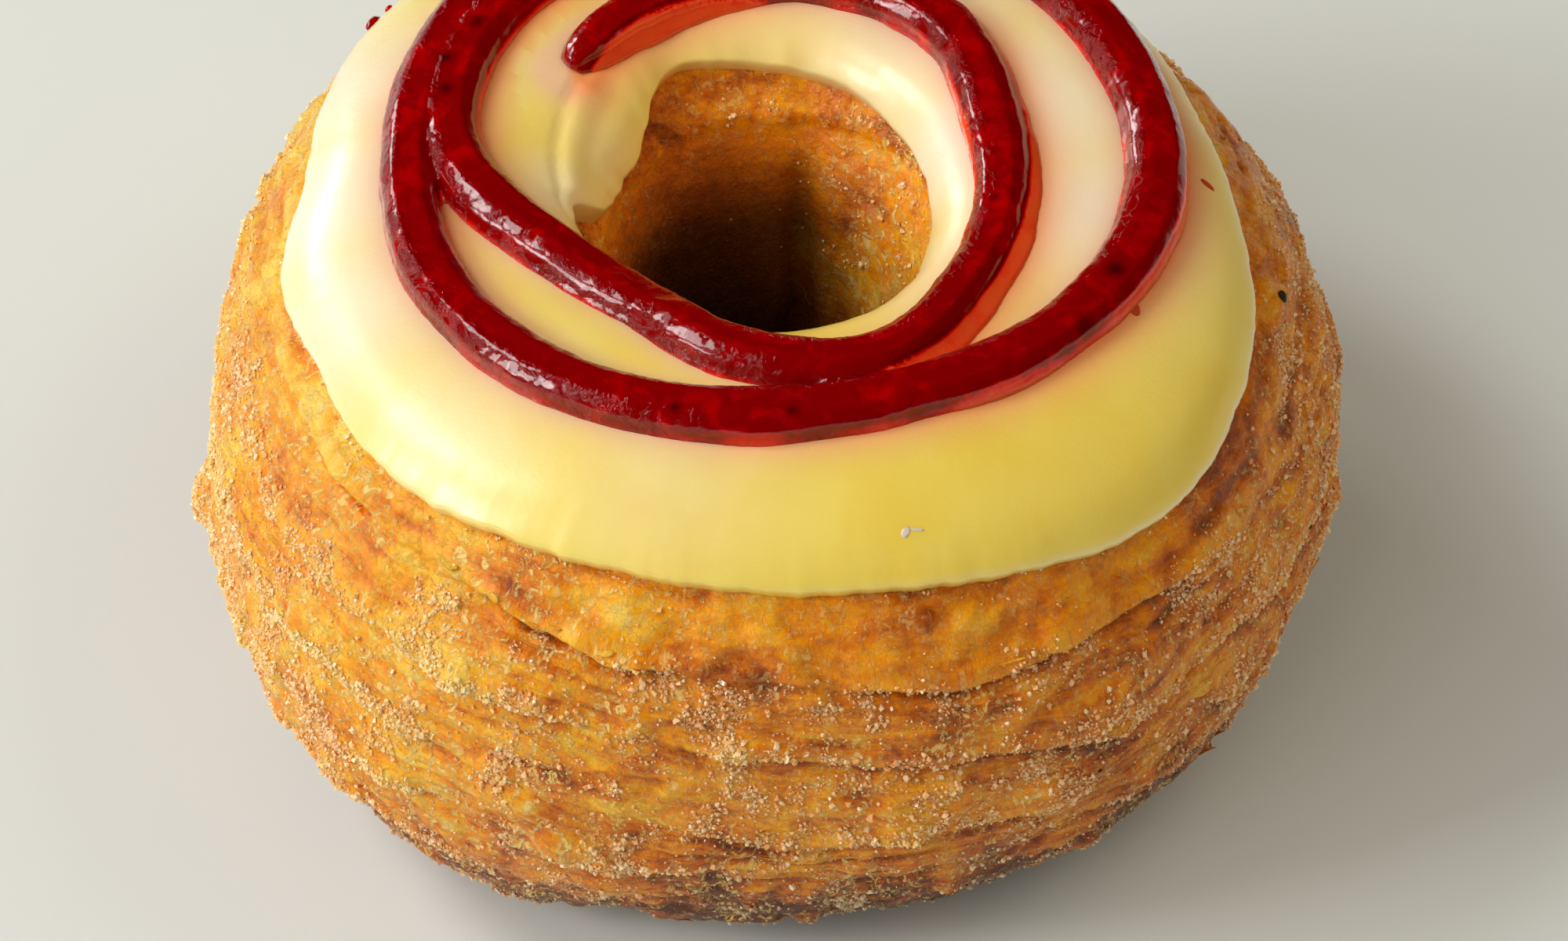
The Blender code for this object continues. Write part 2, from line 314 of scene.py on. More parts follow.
def noise_texture(tree, place, scale, detail=4.0, roughness=0.55, distortion=0.0):
    """A noise texture's value."""
    values = {"Vector": place, "Scale": scale, "Detail": detail, "Roughness": roughness, "Distortion": distortion}
    return add_node(tree, "ShaderNodeTexNoise", values).outputs["Fac"]


def scaled(tree, vector, scale):
    """A vector scaled along each of its axes."""
    made = add_node(tree, "ShaderNodeVectorMath", operation="MULTIPLY")
    tree.links.new(vector, made.inputs[0])
    made.inputs[1].default_value = scale
    return made.outputs["Vector"]


def calculate(tree, operation, first, second=0.0, clamp=False):
    """A sum on sockets or numbers."""
    made = add_node(tree, "ShaderNodeMath", operation=operation, use_clamp=clamp)
    for socket, value in zip(made.inputs, (first, second)):
        if isinstance(value, bpy.types.NodeSocket):
            tree.links.new(value, socket)
        else:
            socket.default_value = value
    return made.outputs["Value"]


def summed(tree, *values):
    """The sum of several sockets."""
    result = values[0]
    for value in values[1:]:
        result = calculate(tree, "ADD", result, value)
    return result


def ranged(tree, value, low, high, to_low=0.0, to_high=1.0):
    """A value moved from one range to another and held inside it."""
    values = {"Value": value, "From Min": low, "From Max": high, "To Min": to_low, "To Max": to_high}
    return add_node(tree, "ShaderNodeMapRange", values, clamp=True).outputs["Result"]


def mixed(tree, share, first, second):
    """A colour between two, by a share from 0 to 1."""
    return add_node(tree, "ShaderNodeMixRGB", {"Fac": share, "Color1": first, "Color2": second}).outputs["Color"]


def ramp(tree, value, stops):
    """A colour read from stops of (place, colour)."""
    made = add_node(tree, "ShaderNodeValToRGB", {"Fac": value})
    elements = made.color_ramp.elements
    while len(elements) < len(stops):
        elements.new(0.5)
    for element, (place, colour) in zip(elements, stops):
        element.position = place
        element.color = colour
    return made.outputs["Color"]


def bump(tree, height, distance, strength=1.0, below=None):
    """A bump of a height in metres, on top of another where one is given."""
    values = {"Height": height, "Distance": distance, "Strength": strength}
    if below is not None:
        values["Normal"] = below
    return add_node(tree, "ShaderNodeBump", values).outputs["Normal"]


def rgb(red, green, blue):
    """A colour given by its sRGB numbers from 0 to 255, as the linear colour that a shader takes."""
    values = [channel / 255 for channel in (red, green, blue)]
    linear = [value / 12.92 if value <= 0.04045 else ((value + 0.055) / 1.055) ** 2.4 for value in values]
    return (*linear, 1.0)


def new_material(name):
    """A material, its node tree and its shader."""
    made = bpy.data.materials.new(name)
    made.use_nodes = True
    return made, made.node_tree, made.node_tree.nodes["Principled BSDF"]


def dress(piece, material, slot, *replaced):
    """Gives a piece its material and its place on the body, and hides the solids that it stands for."""
    piece.data.materials.clear()
    piece.data.materials.append(material)
    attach(piece, BODY)
    if replaced:
        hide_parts(*replaced)


# The crust

GROOVE_JAG_WIDE, GROOVE_JAG_WIDE_SIZE = 3.0, 0.011
GROOVE_JAG_FINE, GROOVE_JAG_FINE_SIZE = 0.8, 0.0020
GROOVE_BREAKS_SIZE = 0.013
OVERHANG_DEGREES = 1.7
DENT_HEIGHT, DENT_SIZE = 0.00030, 0.009
BUBBLE_HEIGHT, BUBBLE_SIZE = 0.00034, 0.0055
BLISTER_HEIGHT, BLISTER_SIZE = 0.00018, 0.0024
LUMP_HEIGHT, LUMP_SIZE = 0.00009, 0.0013
FIBRE_HEIGHT, FIBRE_LENGTH, FIBRES_PER_LAYER = 0.00018, 0.0062, 7.0
LAMINATION_DEPTH, LAMINATIONS_PER_LAYER, LAMINATION_WIDTH = 0.00024, 2.6, 0.13

# The ledge under the icing at the back of the hole: (degrees round the ring, tube angle) along it
HOLE_LEDGE = ((0, 128), (38, 128), (60, 129), (73, 128), (88, 130), (105, 130), (117, 131), (130, 133),
              (145, 133), (167, 133), (200, 134), (280, 132))
HOLE_LEDGE_DEPTH = 0.0007
HOLE_FOLD_ANGLE, HOLE_FOLD_SPREAD, HOLE_FOLD_DEPTH = 80.0, 6.0, 0.0009
HOLE_LIT_ANGLE, HOLE_LIT_SPREAD = 28.0, 42.0
# The side of the ring away from the light, in degrees round the ring: painted shade darkens the crust there, and its
# sugar is thinner
SHADED_SIDE_ANGLE = 320.0

# Where the sugar starts on the ring's side: (degrees round the ring, tube angle)
SUGAR_TOP = ((0, 42), (20, 42), (60, 38), (90, 34), (120, 32), (150, 32), (170, 34), (183, 34), (193, 35),
             (205, 34), (213, 32), (220, 30), (230, 31), (238, 34), (245, 37), (252, 35), (260, 33), (268, 29),
             (279, 28), (288, 28), (296, 25), (305, 25), (315, 26), (324, 30), (335, 34), (348, 40))

# Thick clumps of sugar: degrees round the ring, tube angle, radius in metres, and strength
SUGAR_CLUMPS = (
    (261.8, 25.2, 0.0010, 0.9), (264.8, 18.5, 0.0013, 1.1), (266.2, 12.2, 0.0011, 0.9), (267.8, 5.0, 0.0012, 1.0),
    (254.5, 7.5, 0.0006, 1.5), (256.2, -11.8, 0.0014, 1.1), (274.8, 26.5, 0.0008, 0.9), (280.0, 23.2, 0.0010, 0.8),
    (277.5, -31.8, 0.0012, 1.0), (234.0, 12.2, 0.0009, 1.0), (239.2, 22.2, 0.0006, 1.2), (203.8, 14.5, 0.0016, 0.7),
    (215.0, 18.0, 0.0013, 0.8), (214.2, 5.5, 0.0014, 0.8), (316.2, 25.2, 0.0012, 1.1), (323.5, 24.0, 0.0013, 1.1),
    (303.2, 26.0, 0.0011, 0.7), (287.5, 23.8, 0.0012, 0.8), (295.8, 2.8, 0.0014, 0.9), (244.0, 8.8, 0.0009, 0.9),
    (30.0, 12.0, 0.0014, 0.9), (62.0, 22.0, 0.0013, 0.9), (98.0, 10.0, 0.0015, 0.9), (133.0, 18.0, 0.0013, 0.9),
)

# Darker patches of the crust: degrees round the ring, tube angle, radius in metres, and how much darker
AMBER_PATCHES = (
    (268.5, 34.5, 0.0028, 0.9), (271.0, 32.0, 0.0020, 0.6), (247.0, 30.0, 0.0030, 0.5), (242.0, 34.0, 0.0025, 0.5),
    (260.0, 50.0, 0.0030, 0.45), (264.0, -16.0, 0.0040, 0.6), (240.0, -14.0, 0.0050, 0.5), (227.0, 3.0, 0.0030, 0.6),
    (300.0, 46.0, 0.0045, 0.4), (325.0, 42.0, 0.0040, 0.3), (90.0, 34.0, 0.0040, 0.6), (130.0, 20.0, 0.0045, 0.6),
    (45.0, 30.0, 0.0045, 0.5), (105.0, -8.0, 0.0050, 0.6), (20.0, 5.0, 0.0045, 0.5), (160.0, -2.0, 0.0040, 0.5),
    (223.0, -3.0, 0.0026, 0.8), (232.0, -6.5, 0.0026, 0.7), (256.0, -12.0, 0.0030, 0.7), (250.0, -3.0, 0.0022, 0.4),
)

# Where the skin is even and glossy, and where it is flaky: middle and reach in degrees round the ring
CALM_ANGLE, CALM_SPREAD = 310.0, 62.0
FLAKY_ANGLE, FLAKY_SPREAD = 222.0, 36.0

# Blisters of the skin: degrees round the ring, tube angle, radius and height in metres, and how much paler
BLISTERS = (
    (217.0, 47.5, 0.0026, 0.0006, 0.12), (238.8, 28.5, 0.0032, 0.0006, 0.26), (233.8, 42.0, 0.0024, 0.0004, 0.22),
    (229.0, 27.0, 0.0026, 0.0004, 0.14), (255.0, 47.0, 0.0026, 0.0003, 0.14), (283.0, 41.0, 0.0032, 0.0004, 0.10),
    (303.8, 40.8, 0.0024, 0.0004, 0.18), (299.0, 49.5, 0.0014, 0.0003, 0.24), (250.0, -4.0, 0.0030, 0.0004, 0.16),
    (283.0, -6.0, 0.0032, 0.0004, 0.18), (199.0, 22.0, 0.0022, 0.0004, 0.12), (328.0, 14.0, 0.0026, 0.0004, 0.14),
    (206.5, 49.5, 0.0018, 0.0001, 0.45), (271.5, 45.0, 0.0042, 0.0002, 0.10), (70.0, 20.0, 0.0030, 0.0005, 0.16), (120.0, 5.0, 0.0030, 0.0005, 0.16),
)


def groove_strength(index, around):
    """How deep a groove is along its way round, as a share of the groove depth."""
    wave = np.cos(GROOVE_WAVES[index] * around + math.radians(GROOVE_PHASES[index]))
    return GROOVE_LEAST + (1 - GROOVE_LEAST) * (wave + 1) / 2


def groove_turn(index, around):
    """A groove's tube angle, with the ragged line of a torn layer."""
    circle = ring_point(around, math.radians(np.mean(GROOVES[index])), 0.0)
    wide = noise_field(circle, GROOVE_JAG_WIDE_SIZE, 11 + index, 2)
    fine = noise_field(circle, GROOVE_JAG_FINE_SIZE, 31 + index, 2)
    return read_stations(GROOVES[index], around) + GROOVE_JAG_WIDE * wide + GROOVE_JAG_FINE * fine


def crust_rows(around):
    """The tube angle of every point of the crust in degrees, and each row's place among the layers."""
    flat = np.zeros_like(around)
    edges = [flat + FOOT_TURN]
    edges += [groove_turn(index, around) for index in range(len(GROOVES))]
    edges += [flat + turn for turn in (SKIN_TURN, ROOF_TURN, THROAT_TURN, HOLE_END_TURN)]
    turns, places = [], []
    for span, rows in enumerate(SPAN_ROWS):
        crowded = ROW_CROWDING if 0 < span <= len(GROOVES) else 1.0
        for row in range(rows):
            share = (row / rows) ** crowded
            turns.append(edges[span] * (1 - share) + edges[span + 1] * share)
            places.append(span - 1 + share)
    turns.append(edges[-1])
    places.append(len(SPAN_ROWS) - 1.0)
    return np.array(turns), np.array(places)


def layer_relief(turns, places, around):
    """How far each point stands out by the layers' edges, and how near it is to a lip."""
    depths = []
    for index, groove in enumerate(GROOVES):
        circle = ring_point(around, math.radians(np.mean(groove)), 0.0)
        breaks = 0.25 + 0.95 * smooth_step(-0.35, 0.25, noise_field(circle, GROOVE_BREAKS_SIZE, 51 + index, 2))
        depths.append(GROOVE_DEPTH * groove_strength(index, around) * breaks)
    relief, lip = np.zeros_like(turns), np.zeros_like(turns)
    last = len(GROOVES) - 1
    for row, place in enumerate(places):
        if place < 0:
            below = turns[places == 0][0] - turns[row]
            relief[row] = np.interp(below, FOOT_EDGE_DEGREES, FOOT_EDGE_RELIEF) * depths[0]
        elif place < last:
            index, share = int(place), place - int(place)
            blend = smooth_step(0.3, 0.8, share)
            depth = depths[index] * (1 - blend) + depths[index + 1] * blend
            relief[row] = np.interp(share, LAYER_SHARES, LAYER_RELIEF) * depth
            lip[row] = hump(share - 0.13, 0.09) * depth / GROOVE_DEPTH
        elif place < last + 1:
            above = turns[row] - turns[places == last][0]
            relief[row] = np.interp(above, SKIN_EDGE_DEGREES, SKIN_EDGE_RELIEF) * depths[last]
            lip[row] = hump(above - 2.6, 1.6) * depths[last] / GROOVE_DEPTH
    return relief, lip


def patch(points, degrees, turn, radius):
    """A round patch centred on a place of the ring, 1 at its middle and 0 outside it."""
    middle = ring_point(math.radians(degrees), math.radians(turn), 0.0)
    return hump(np.linalg.norm(points - middle, axis=-1), radius)


def crust_fields(around):
    """The crust's points, and what its colour and its sugar follow."""
    turns, places = crust_rows(around)
    smooth = ring_point(around, np.radians(turns), 0.0)
    relief, lip = layer_relief(turns, places, around)
    outer = smooth_step(-80, -60, turns) * (1 - smooth_step(60, 75, turns))
    hole = smooth_step(112, 120, turns) * (1 - smooth_step(225, 250, turns))
    shown = np.clip(outer + hole, 0, 1)

    ragged = noise_field(smooth, 0.0022, 3, 2)
    relief = relief * (1 + 0.5 * ragged)
    dents = noise_field(smooth, DENT_SIZE, 1, 2)
    bubble = smooth_step(0.02, 0.32, noise_field(smooth, BUBBLE_SIZE, 2, 2))
    blister = smooth_step(0.0, 0.35, noise_field(smooth, BLISTER_SIZE, 12, 2))
    lumps = noise_field(smooth, LUMP_SIZE, 4, 2)
    round_ring = smooth.copy()
    round_ring[..., 2] = places[:, None] * FIBRE_LENGTH * FIBRES_PER_LAYER
    fibres = noise_field(round_ring, FIBRE_LENGTH, 5, 4)

    weave = (places[:, None] * LAMINATIONS_PER_LAYER + 0.35 * noise_field(smooth, 0.012, 6, 2)) % 1.0
    present = smooth_step(-0.1, 0.25, noise_field(smooth, 0.010, 7, 1))
    lamination = hump(weave - 0.5, LAMINATION_WIDTH) * present * ((places > 0) & (places < 5.6))[:, None]
    edge_light = hump(weave - 0.76, LAMINATION_WIDTH) * present * ((places > 0) & (places < 5.6))[:, None]

    ledge = read_places(HOLE_LEDGE, around)
    under_ledge = smooth_step(0.0, 3.5, turns - ledge + 1.5 * ragged) * hole
    painted_ledge_shadow = smooth_step(-1.0, 7.0, turns - ledge + 3.0 * ragged) * hole
    recess = HOLE_LEDGE_DEPTH * under_ledge * (1 - smooth_step(160, 200, turns))
    fold = HOLE_FOLD_DEPTH * hump(turned_from(around, HOLE_FOLD_ANGLE), HOLE_FOLD_SPREAD)
    fold = fold * smooth_step(138, 150, turns) * hole
    lit_wall = hump(turned_from(around, HOLE_LIT_ANGLE), HOLE_LIT_SPREAD) * hole

    lift = relief - CRUST_INSET * shown
    lift = lift + shown * (DENT_HEIGHT * dents + LUMP_HEIGHT * lumps)
    lift = lift + outer * (BUBBLE_HEIGHT * bubble + BLISTER_HEIGHT * blister)
    lift = lift + outer * (FIBRE_HEIGHT * fibres - LAMINATION_DEPTH * lamination)
    lift = lift + hole * (0.6 + 2.2 * lit_wall) * LUMP_HEIGHT * lumps - recess - fold
    pale = np.zeros_like(turns)
    for degrees, turn, radius, height, paler in BLISTERS:
        spot = patch(smooth, degrees, turn, radius)
        lift = lift + height * spot
        pale = pale + paler * spot
    points = held_in_box(ring_point(around, np.radians(turns - OVERHANG_DEGREES * lip), lift))

    amber = np.zeros_like(turns)
    for degrees, turn, radius, strength in AMBER_PATCHES:
        spot = patch(smooth, degrees, turn, radius * (1 + 0.35 * dents))
        amber = np.maximum(amber, strength * spot)
    sugar = sugar_density(around, turns, smooth, lip)
    bare = smooth_step(-4, 6, turns - read_places(SUGAR_TOP, around)) * outer
    calm = bare * hump(turned_from(around, CALM_ANGLE), CALM_SPREAD)
    flaky = hump(turned_from(around, FLAKY_ANGLE), FLAKY_SPREAD) * outer
    groove = np.clip(-relief / GROOVE_DEPTH, 0, 1)
    low = smooth_step(4, 45, -turns)
    # Painted shade: the crust is darker on the side away from the light
    shade_side = np.clip(np.cos(around - math.radians(SHADED_SIDE_ANGLE)), 0, 1) * outer
    gold_band = hole * (1 - under_ledge)
    # Darker in the grooves and laminations: browning with painted shade under the layers' edges; paler just above
    # each lamination, painted light on its lifted edge
    toast = 0.28 + 0.36 * groove + 0.55 * low + 0.33 * shade_side + 0.14 * dents + 0.12 * lamination * outer
    toast = toast - outer * (0.14 * bubble + 0.08 * blister + 0.14 * lip + 0.10 * edge_light)
    toast = toast + 0.32 * amber - pale + 0.07 * flaky
    # Painted shadow in the hole below its ledge, lighter on the lit wall; the golden band above the ledge is browner
    toast = toast + hole * (0.06 + (0.32 - 0.30 * lit_wall) * painted_ledge_shadow) + 0.24 * gold_band
    liveliness = (1 - hole * (0.65 - 0.65 * lit_wall) * under_ledge) * (1 - 0.35 * calm)
    # More cream film on the lit wall of the hole, partly painted glints where the light falls
    film = outer * (1 - 0.5 * calm + 0.7 * flaky) + hole * (0.7 + 0.9 * lit_wall - 0.2 * (1 - under_ledge))
    # Painted shade deep in the hole: the crust turns near black there, less so on the lit wall
    deep = smooth_step(134, 164, turns) * hole * (1 - 0.85 * lit_wall)
    return {
        "points": points, "sugar": sugar, "toast": toast, "liveliness": liveliness, "deep": deep, "lip": lip * outer, "film": film,
        "smooth": smooth, "layer_place": round_ring,
    }


def sugar_density(around, turns, smooth, lip):
    """How thickly the sugar lies, from 0 to 1: drifted on the lips of the layers, sparse on the skin above."""
    top = read_places(SUGAR_TOP, around)
    clumps = noise_field(smooth, 0.0050, 8, 3)
    fine_clumps = noise_field(smooth, 0.0014, 9, 2)
    coat = smooth_step(-5, 8, top - turns + 8 * clumps)
    drifts = smooth_step(0.0, 0.75, 0.8 * clumps + 0.5 * fine_clumps + 1.0 * lip)
    side = 0.10 * hump(turned_from(around, 192.0), 22.0) + 0.20 * hump(turned_from(around, 352.0), 26.0)
    drifts = np.clip(drifts + side, 0, 1)
    under = 1 - 0.50 * smooth_step(6, 34, -turns) - 0.35 * smooth_step(48, 66, -turns)
    coat = coat * (1 - 0.40 * np.clip(np.cos(around - math.radians(SHADED_SIDE_ANGLE)), 0, 1))
    stray = 0.02 * (1 - smooth_step(50, 62, turns))
    below_icing = turns - read_places(ICING_OUTER_EDGE, around) + 0.6
    at_icing = 0.30 * hump(below_icing, 1.0) * smooth_step(-0.1, 0.4, fine_clumps)
    lit_wall = hump(turned_from(around, HOLE_LIT_ANGLE), HOLE_LIT_SPREAD)
    golden_band = hump(turned_from(around, 110.0), 40.0) * (1 - smooth_step(126, 131, turns))
    in_hole = 0.24 * lit_wall * (1 - smooth_step(150, 172, turns)) + 0.10 * golden_band
    in_hole = in_hole * smooth_step(112, 118, turns) * smooth_step(-0.2, 0.3, fine_clumps)
    clumped = sum(strength * patch(smooth, degrees, turn, radius) for degrees, turn, radius, strength in SUGAR_CLUMPS)
    return np.clip(coat * (0.05 + 0.95 * drifts) * under + stray + at_icing + in_hole + clumped, 0, 1.5)


def crust_colour(tree, level):
    """The colour of fried dough, from pale blisters at 0 to dark grooves at 1."""
    return ramp(tree, level, (
        (0.0, rgb(255, 206, 78)),
        (0.20, rgb(254, 180, 26)),
        (0.42, rgb(244, 150, 2)),
        (0.62, rgb(216, 112, 1)),
        (0.80, rgb(166, 72, 2)),
        (1.0, rgb(94, 36, 2)),
    ))


def crust_material():
    """Fried, laminated dough: a glossy golden skin, creamy where it flakes, brown and painted darker in its grooves,
    sugar-dusted, with painted shade deep in the hole.
    """
    made, tree, shader = new_material("fried_crust")
    place = read_attribute(tree, "ring_place")["Vector"]
    layers = read_attribute(tree, "layer_place")["Vector"]
    toast = read_attribute(tree, "toast")["Fac"]
    sugar = read_attribute(tree, "sugar")["Fac"]
    liveliness = read_attribute(tree, "liveliness")["Fac"]
    patches = noise_texture(tree, place, 0.20, 3.0, 0.55, 0.4)
    mottle = noise_texture(tree, place, 0.60, 4.0, 0.6, 0.7)
    crinkle = noise_texture(tree, place, 1.8, 4.0, 0.6, 0.9)
    strands = noise_texture(tree, layers, 0.13, 4.0, 0.58, 0.5)
    fibres = noise_texture(tree, layers, 0.42, 4.0, 0.62, 0.6)
    swing = summed(
        tree,
        ranged(tree, patches, 0.35, 0.65, -0.14, 0.14),
        ranged(tree, mottle, 0.3, 0.7, -0.12, 0.16),
        ranged(tree, crinkle, 0.3, 0.7, -0.08, 0.08),
        ranged(tree, strands, 0.32, 0.68, -0.17, 0.19),
        ranged(tree, fibres, 0.32, 0.68, -0.09, 0.11),
    )
    level = calculate(tree, "ADD", toast, calculate(tree, "MULTIPLY", swing, liveliness), clamp=True)
    golden = crust_colour(tree, level)
    film = ranged(tree, noise_texture(tree, place, 1.35, 5.0, 0.70, 1.0), 0.505, 0.60)
    filmed = ranged(tree, noise_texture(tree, place, 0.17, 2.0, 0.5), 0.42, 0.58, 0.20, 0.85)
    spread = calculate(tree, "MULTIPLY", filmed, read_attribute(tree, "film")["Fac"])
    cream = calculate(tree, "MULTIPLY", calculate(tree, "MULTIPLY", film, spread), liveliness, clamp=True)
    creamy = mixed(tree, cream, golden, rgb(255, 214, 122))
    dust = noise_texture(tree, place, 3.4, 4.0, 0.7)
    veil = noise_texture(tree, place, 1.1, 3.0, 0.6)
    frost = calculate(tree, "ADD", ranged(tree, dust, 0.47, 0.60, 0.0, 0.6), ranged(tree, veil, 0.4, 0.65, 0.0, 0.22))
    dusted = calculate(tree, "MULTIPLY", frost, sugar, clamp=True)
    frosted = mixed(tree, dusted, creamy, rgb(252, 194, 108))
    # Painted shade deep in the hole: near-black brown
    shaded = calculate(tree, "MULTIPLY", read_attribute(tree, "deep")["Fac"], 0.9)
    tree.links.new(mixed(tree, shaded, frosted, rgb(24, 8, 2)), shader.inputs["Base Color"])
    tree.links.new(ranged(tree, crinkle, 0.35, 0.65, 0.16, 0.34), shader.inputs["Roughness"])
    wide = bump(tree, strands, 0.00028)
    coarse = bump(tree, fibres, 0.00012, below=wide)
    fine = bump(tree, crinkle, 0.00016, below=coarse)
    flaky = bump(tree, film, 0.00005, below=fine)
    tree.links.new(bump(tree, dust, 0.00006, below=flaky), shader.inputs["Normal"])
    shader.inputs["Subsurface Weight"].default_value = 0.25
    shader.inputs["Subsurface Radius"].default_value = (1.0, 0.65, 0.3)
    shader.inputs["Subsurface Scale"].default_value = 0.0007
    shader.inputs["Specular IOR Level"].default_value = 0.45
    return made


def crust(fields, material):
    """The ring of pastry with its layers, blisters and torn edges."""
    points = fields["points"]
    rows, segments = points.shape[:2]
    made = mesh_object("pastry_crust", points, ring_faces(rows, segments))
    add_attribute(made, "toast", fields["toast"].ravel())
    add_attribute(made, "sugar", fields["sugar"].ravel())
    add_attribute(made, "liveliness", fields["liveliness"].ravel())
    add_attribute(made, "deep", fields["deep"].ravel())
    add_attribute(made, "film", fields["film"].ravel())
    add_attribute(made, "ring_place", fields["smooth"].reshape(-1, 3) / MM)
    add_attribute(made, "layer_place", fields["layer_place"].reshape(-1, 3) / MM)
    dress(made, material, "crust", "pastry")


# The sugar

GRAINS_SEED = 5
BOX_CORNERS = tuple((x, y, z) for z in (-1, 1) for y in (-1, 1) for x in (-1, 1))
BOX_FACES = (
    (0, 2, 1), (1, 2, 3), (4, 5, 6), (5, 7, 6), (0, 1, 4), (1, 5, 4),
    (2, 6, 3), (3, 6, 7), (0, 4, 2), (2, 4, 6), (1, 3, 5), (3, 7, 5),
)
SHARD_CORNERS = ((1, 1, 1), (1, -1, -1), (-1, 1, -1), (-1, -1, 1))
SHARD_FACES = ((0, 1, 2), (0, 3, 1), (0, 2, 3), (1, 3, 2))

# Sugar by size: name, count, smallest and largest radius in millimetres, how it crowds, shape's unevenness, sink
SUGAR_KINDS = (
    ("sugar_coarse", "ball", 2800, 0.12, 0.27, 1.7, 0.28, 0.40),
    ("sugar_medium", "box", 11000, 0.07, 0.15, 1.4, 0.22, 0.35),
    ("sugar_fine", "shard", 45000, 0.05, 0.10, 1.1, 0.14, 0.20),
)


def random_turns(count, draw):
    """Random rotation matrices."""
    quaternion = draw.normal(size=(count, 4))
    quaternion /= np.linalg.norm(quaternion, axis=1, keepdims=True)
    w, x, y, z = quaternion.T
    return np.stack([
        np.stack([1 - 2 * (y * y + z * z), 2 * (x * y - z * w), 2 * (x * z + y * w)], -1),
        np.stack([2 * (x * y + z * w), 1 - 2 * (x * x + z * z), 2 * (y * z - x * w)], -1),
        np.stack([2 * (x * z - y * w), 2 * (y * z + x * w), 1 - 2 * (x * x + y * y)], -1),
    ], 1)


def rounded_shape(subdivisions):
    """The corners and faces of an icosahedron of radius 1, or of a finer ball."""
    shape = bmesh.new()
    bmesh.ops.create_icosphere(shape, subdivisions=subdivisions, radius=1.0)
    corners = np.array([vertex.co[:] for vertex in shape.verts])
    faces = [tuple(vertex.index for vertex in face.verts) for face in shape.faces]
    shape.free()
    return corners, faces


def scatter_places(fields, density, count, draw):
    """Random places on the crust, with their outward directions, by how thickly they should lie."""
    points = fields["points"]
    normals = grid_normals(points)
    rows, segments = points.shape[:2]
    across = np.linalg.norm(points[1:] - points[:-1], axis=-1)
    along = np.linalg.norm(np.roll(points, -1, 1) - points, axis=-1)[:-1]
    weight = (density[:-1] * across * along).ravel()
    cells = draw.choice(len(weight), size=count, p=weight / weight.sum())
    row, column = cells // segments, cells % segments
    after = (column + 1) % segments
    up, right = draw.random((2, count, 1))
    place = (
        points[row, column] * (1 - up) * (1 - right) + points[row, after] * (1 - up) * right
        + points[row + 1, column] * up * (1 - right) + points[row + 1, after] * up * right
    )
    return place, normals[row, column], fields["toast"][row, column]


def grains(name, places, normals, radii, corners, faces, jitter, sink, draw):
    """One mesh of many small crystals, each turned and shaped at random and sunk a little into the crust."""
    corners = np.asarray(corners, float)
    count = len(places)
    stretch = draw.uniform(0.7, 1.25, size=(count, 1, 3))
    shaped = corners[None] * stretch + draw.normal(scale=jitter, size=(count, len(corners), 3))
    turned = np.einsum("nij,nkj->nki", random_turns(count, draw), shaped)
    centres = places + normals * (radii * (1 - sink))[:, None]
    points = centres[:, None] + turned * radii[:, None, None]
    points = held_in_box(points)
    offsets = np.arange(count)[:, None, None] * len(corners)
    all_faces = (np.asarray(faces)[None] + offsets).reshape(-1, len(faces[0])).tolist()
    made = mesh_object(name, points, all_faces)
    made.data.shade_flat()
    return made


def sugar_material():
    """Half-clear crystals: white, with more or less of the crust's colour showing through."""
    made, tree, shader = new_material("sugar_crystal")
    clearness = read_attribute(tree, "clearness")["Fac"]
    beneath = crust_colour(tree, read_attribute(tree, "toast")["Fac"])
    share = ranged(tree, clearness, 0.0, 1.0, 0.0, 0.68)
    tree.links.new(mixed(tree, share, rgb(255, 231, 184), beneath), shader.inputs["Base Color"])
    tree.links.new(ranged(tree, clearness, 0.0, 1.0, 0.30, 0.10), shader.inputs["Roughness"])
    shader.inputs["IOR"].default_value = 1.5
    shader.inputs["Subsurface Weight"].default_value = 0.3
    shader.inputs["Subsurface Radius"].default_value = (1.0, 0.9, 0.75)
    shader.inputs["Subsurface Scale"].default_value = 0.0002
    return made


def sugar(fields):
    """Three sizes of sugar grains, clinging to the layers and drifted on their ledges."""
    draw = np.random.default_rng(GRAINS_SEED)
    material = sugar_material()
    shapes = {"ball": rounded_shape(1), "box": (BOX_CORNERS, BOX_FACES), "shard": (SHARD_CORNERS, SHARD_FACES)}
    for name, shape, count, smallest, largest, crowding, jitter, sink in SUGAR_KINDS:
        corners, faces = shapes[shape]
        places, normals, toast = scatter_places(fields, fields["sugar"] ** crowding, count, draw)
        radii = draw.uniform(smallest, largest, count) * MM
        made = grains(name, places, normals, radii, corners, faces, jitter, sink, draw)
        add_attribute(made, "clearness", np.repeat(draw.random(count) ** 0.6, len(corners)))
        add_attribute(made, "toast", np.repeat(toast, len(corners)))
        dress(made, material, "crust")


# The icing

ICING_SEGMENTS = 720
ICING_OUTER_EDGE = (
    (18, 63), (45, 58), (85, 53.5), (120, 49), (148, 49), (160, 53.5), (175, 57), (190, 51.5), (203, 54),
    (214, 52), (225, 50.8), (240, 52.3), (270, 52), (285, 50.5), (298, 47.5), (310, 43.5), (322, 43),
    (335, 47), (346, 52), (355, 57),
)
ICING_INNER_EDGE = (
    (17, 129), (49, 125), (66, 120.5), (85, 117.5), (105, 115), (121, 114.5), (127, 118), (135, 124),
    (145, 129.5), (158, 131.5), (172, 129), (177, 126), (181, 118), (186, 117.5), (198, 122), (230, 124.5),
    (275, 128), (320, 131), (350, 131),
)
ICING_JAG, ICING_JAG_SIZE = 0.55, 0.0020
ICING_INNER_JAG = 0.35
ICING_EDGE_HEIGHT, ICING_BODY_HEIGHT = 0.0010, 0.00185
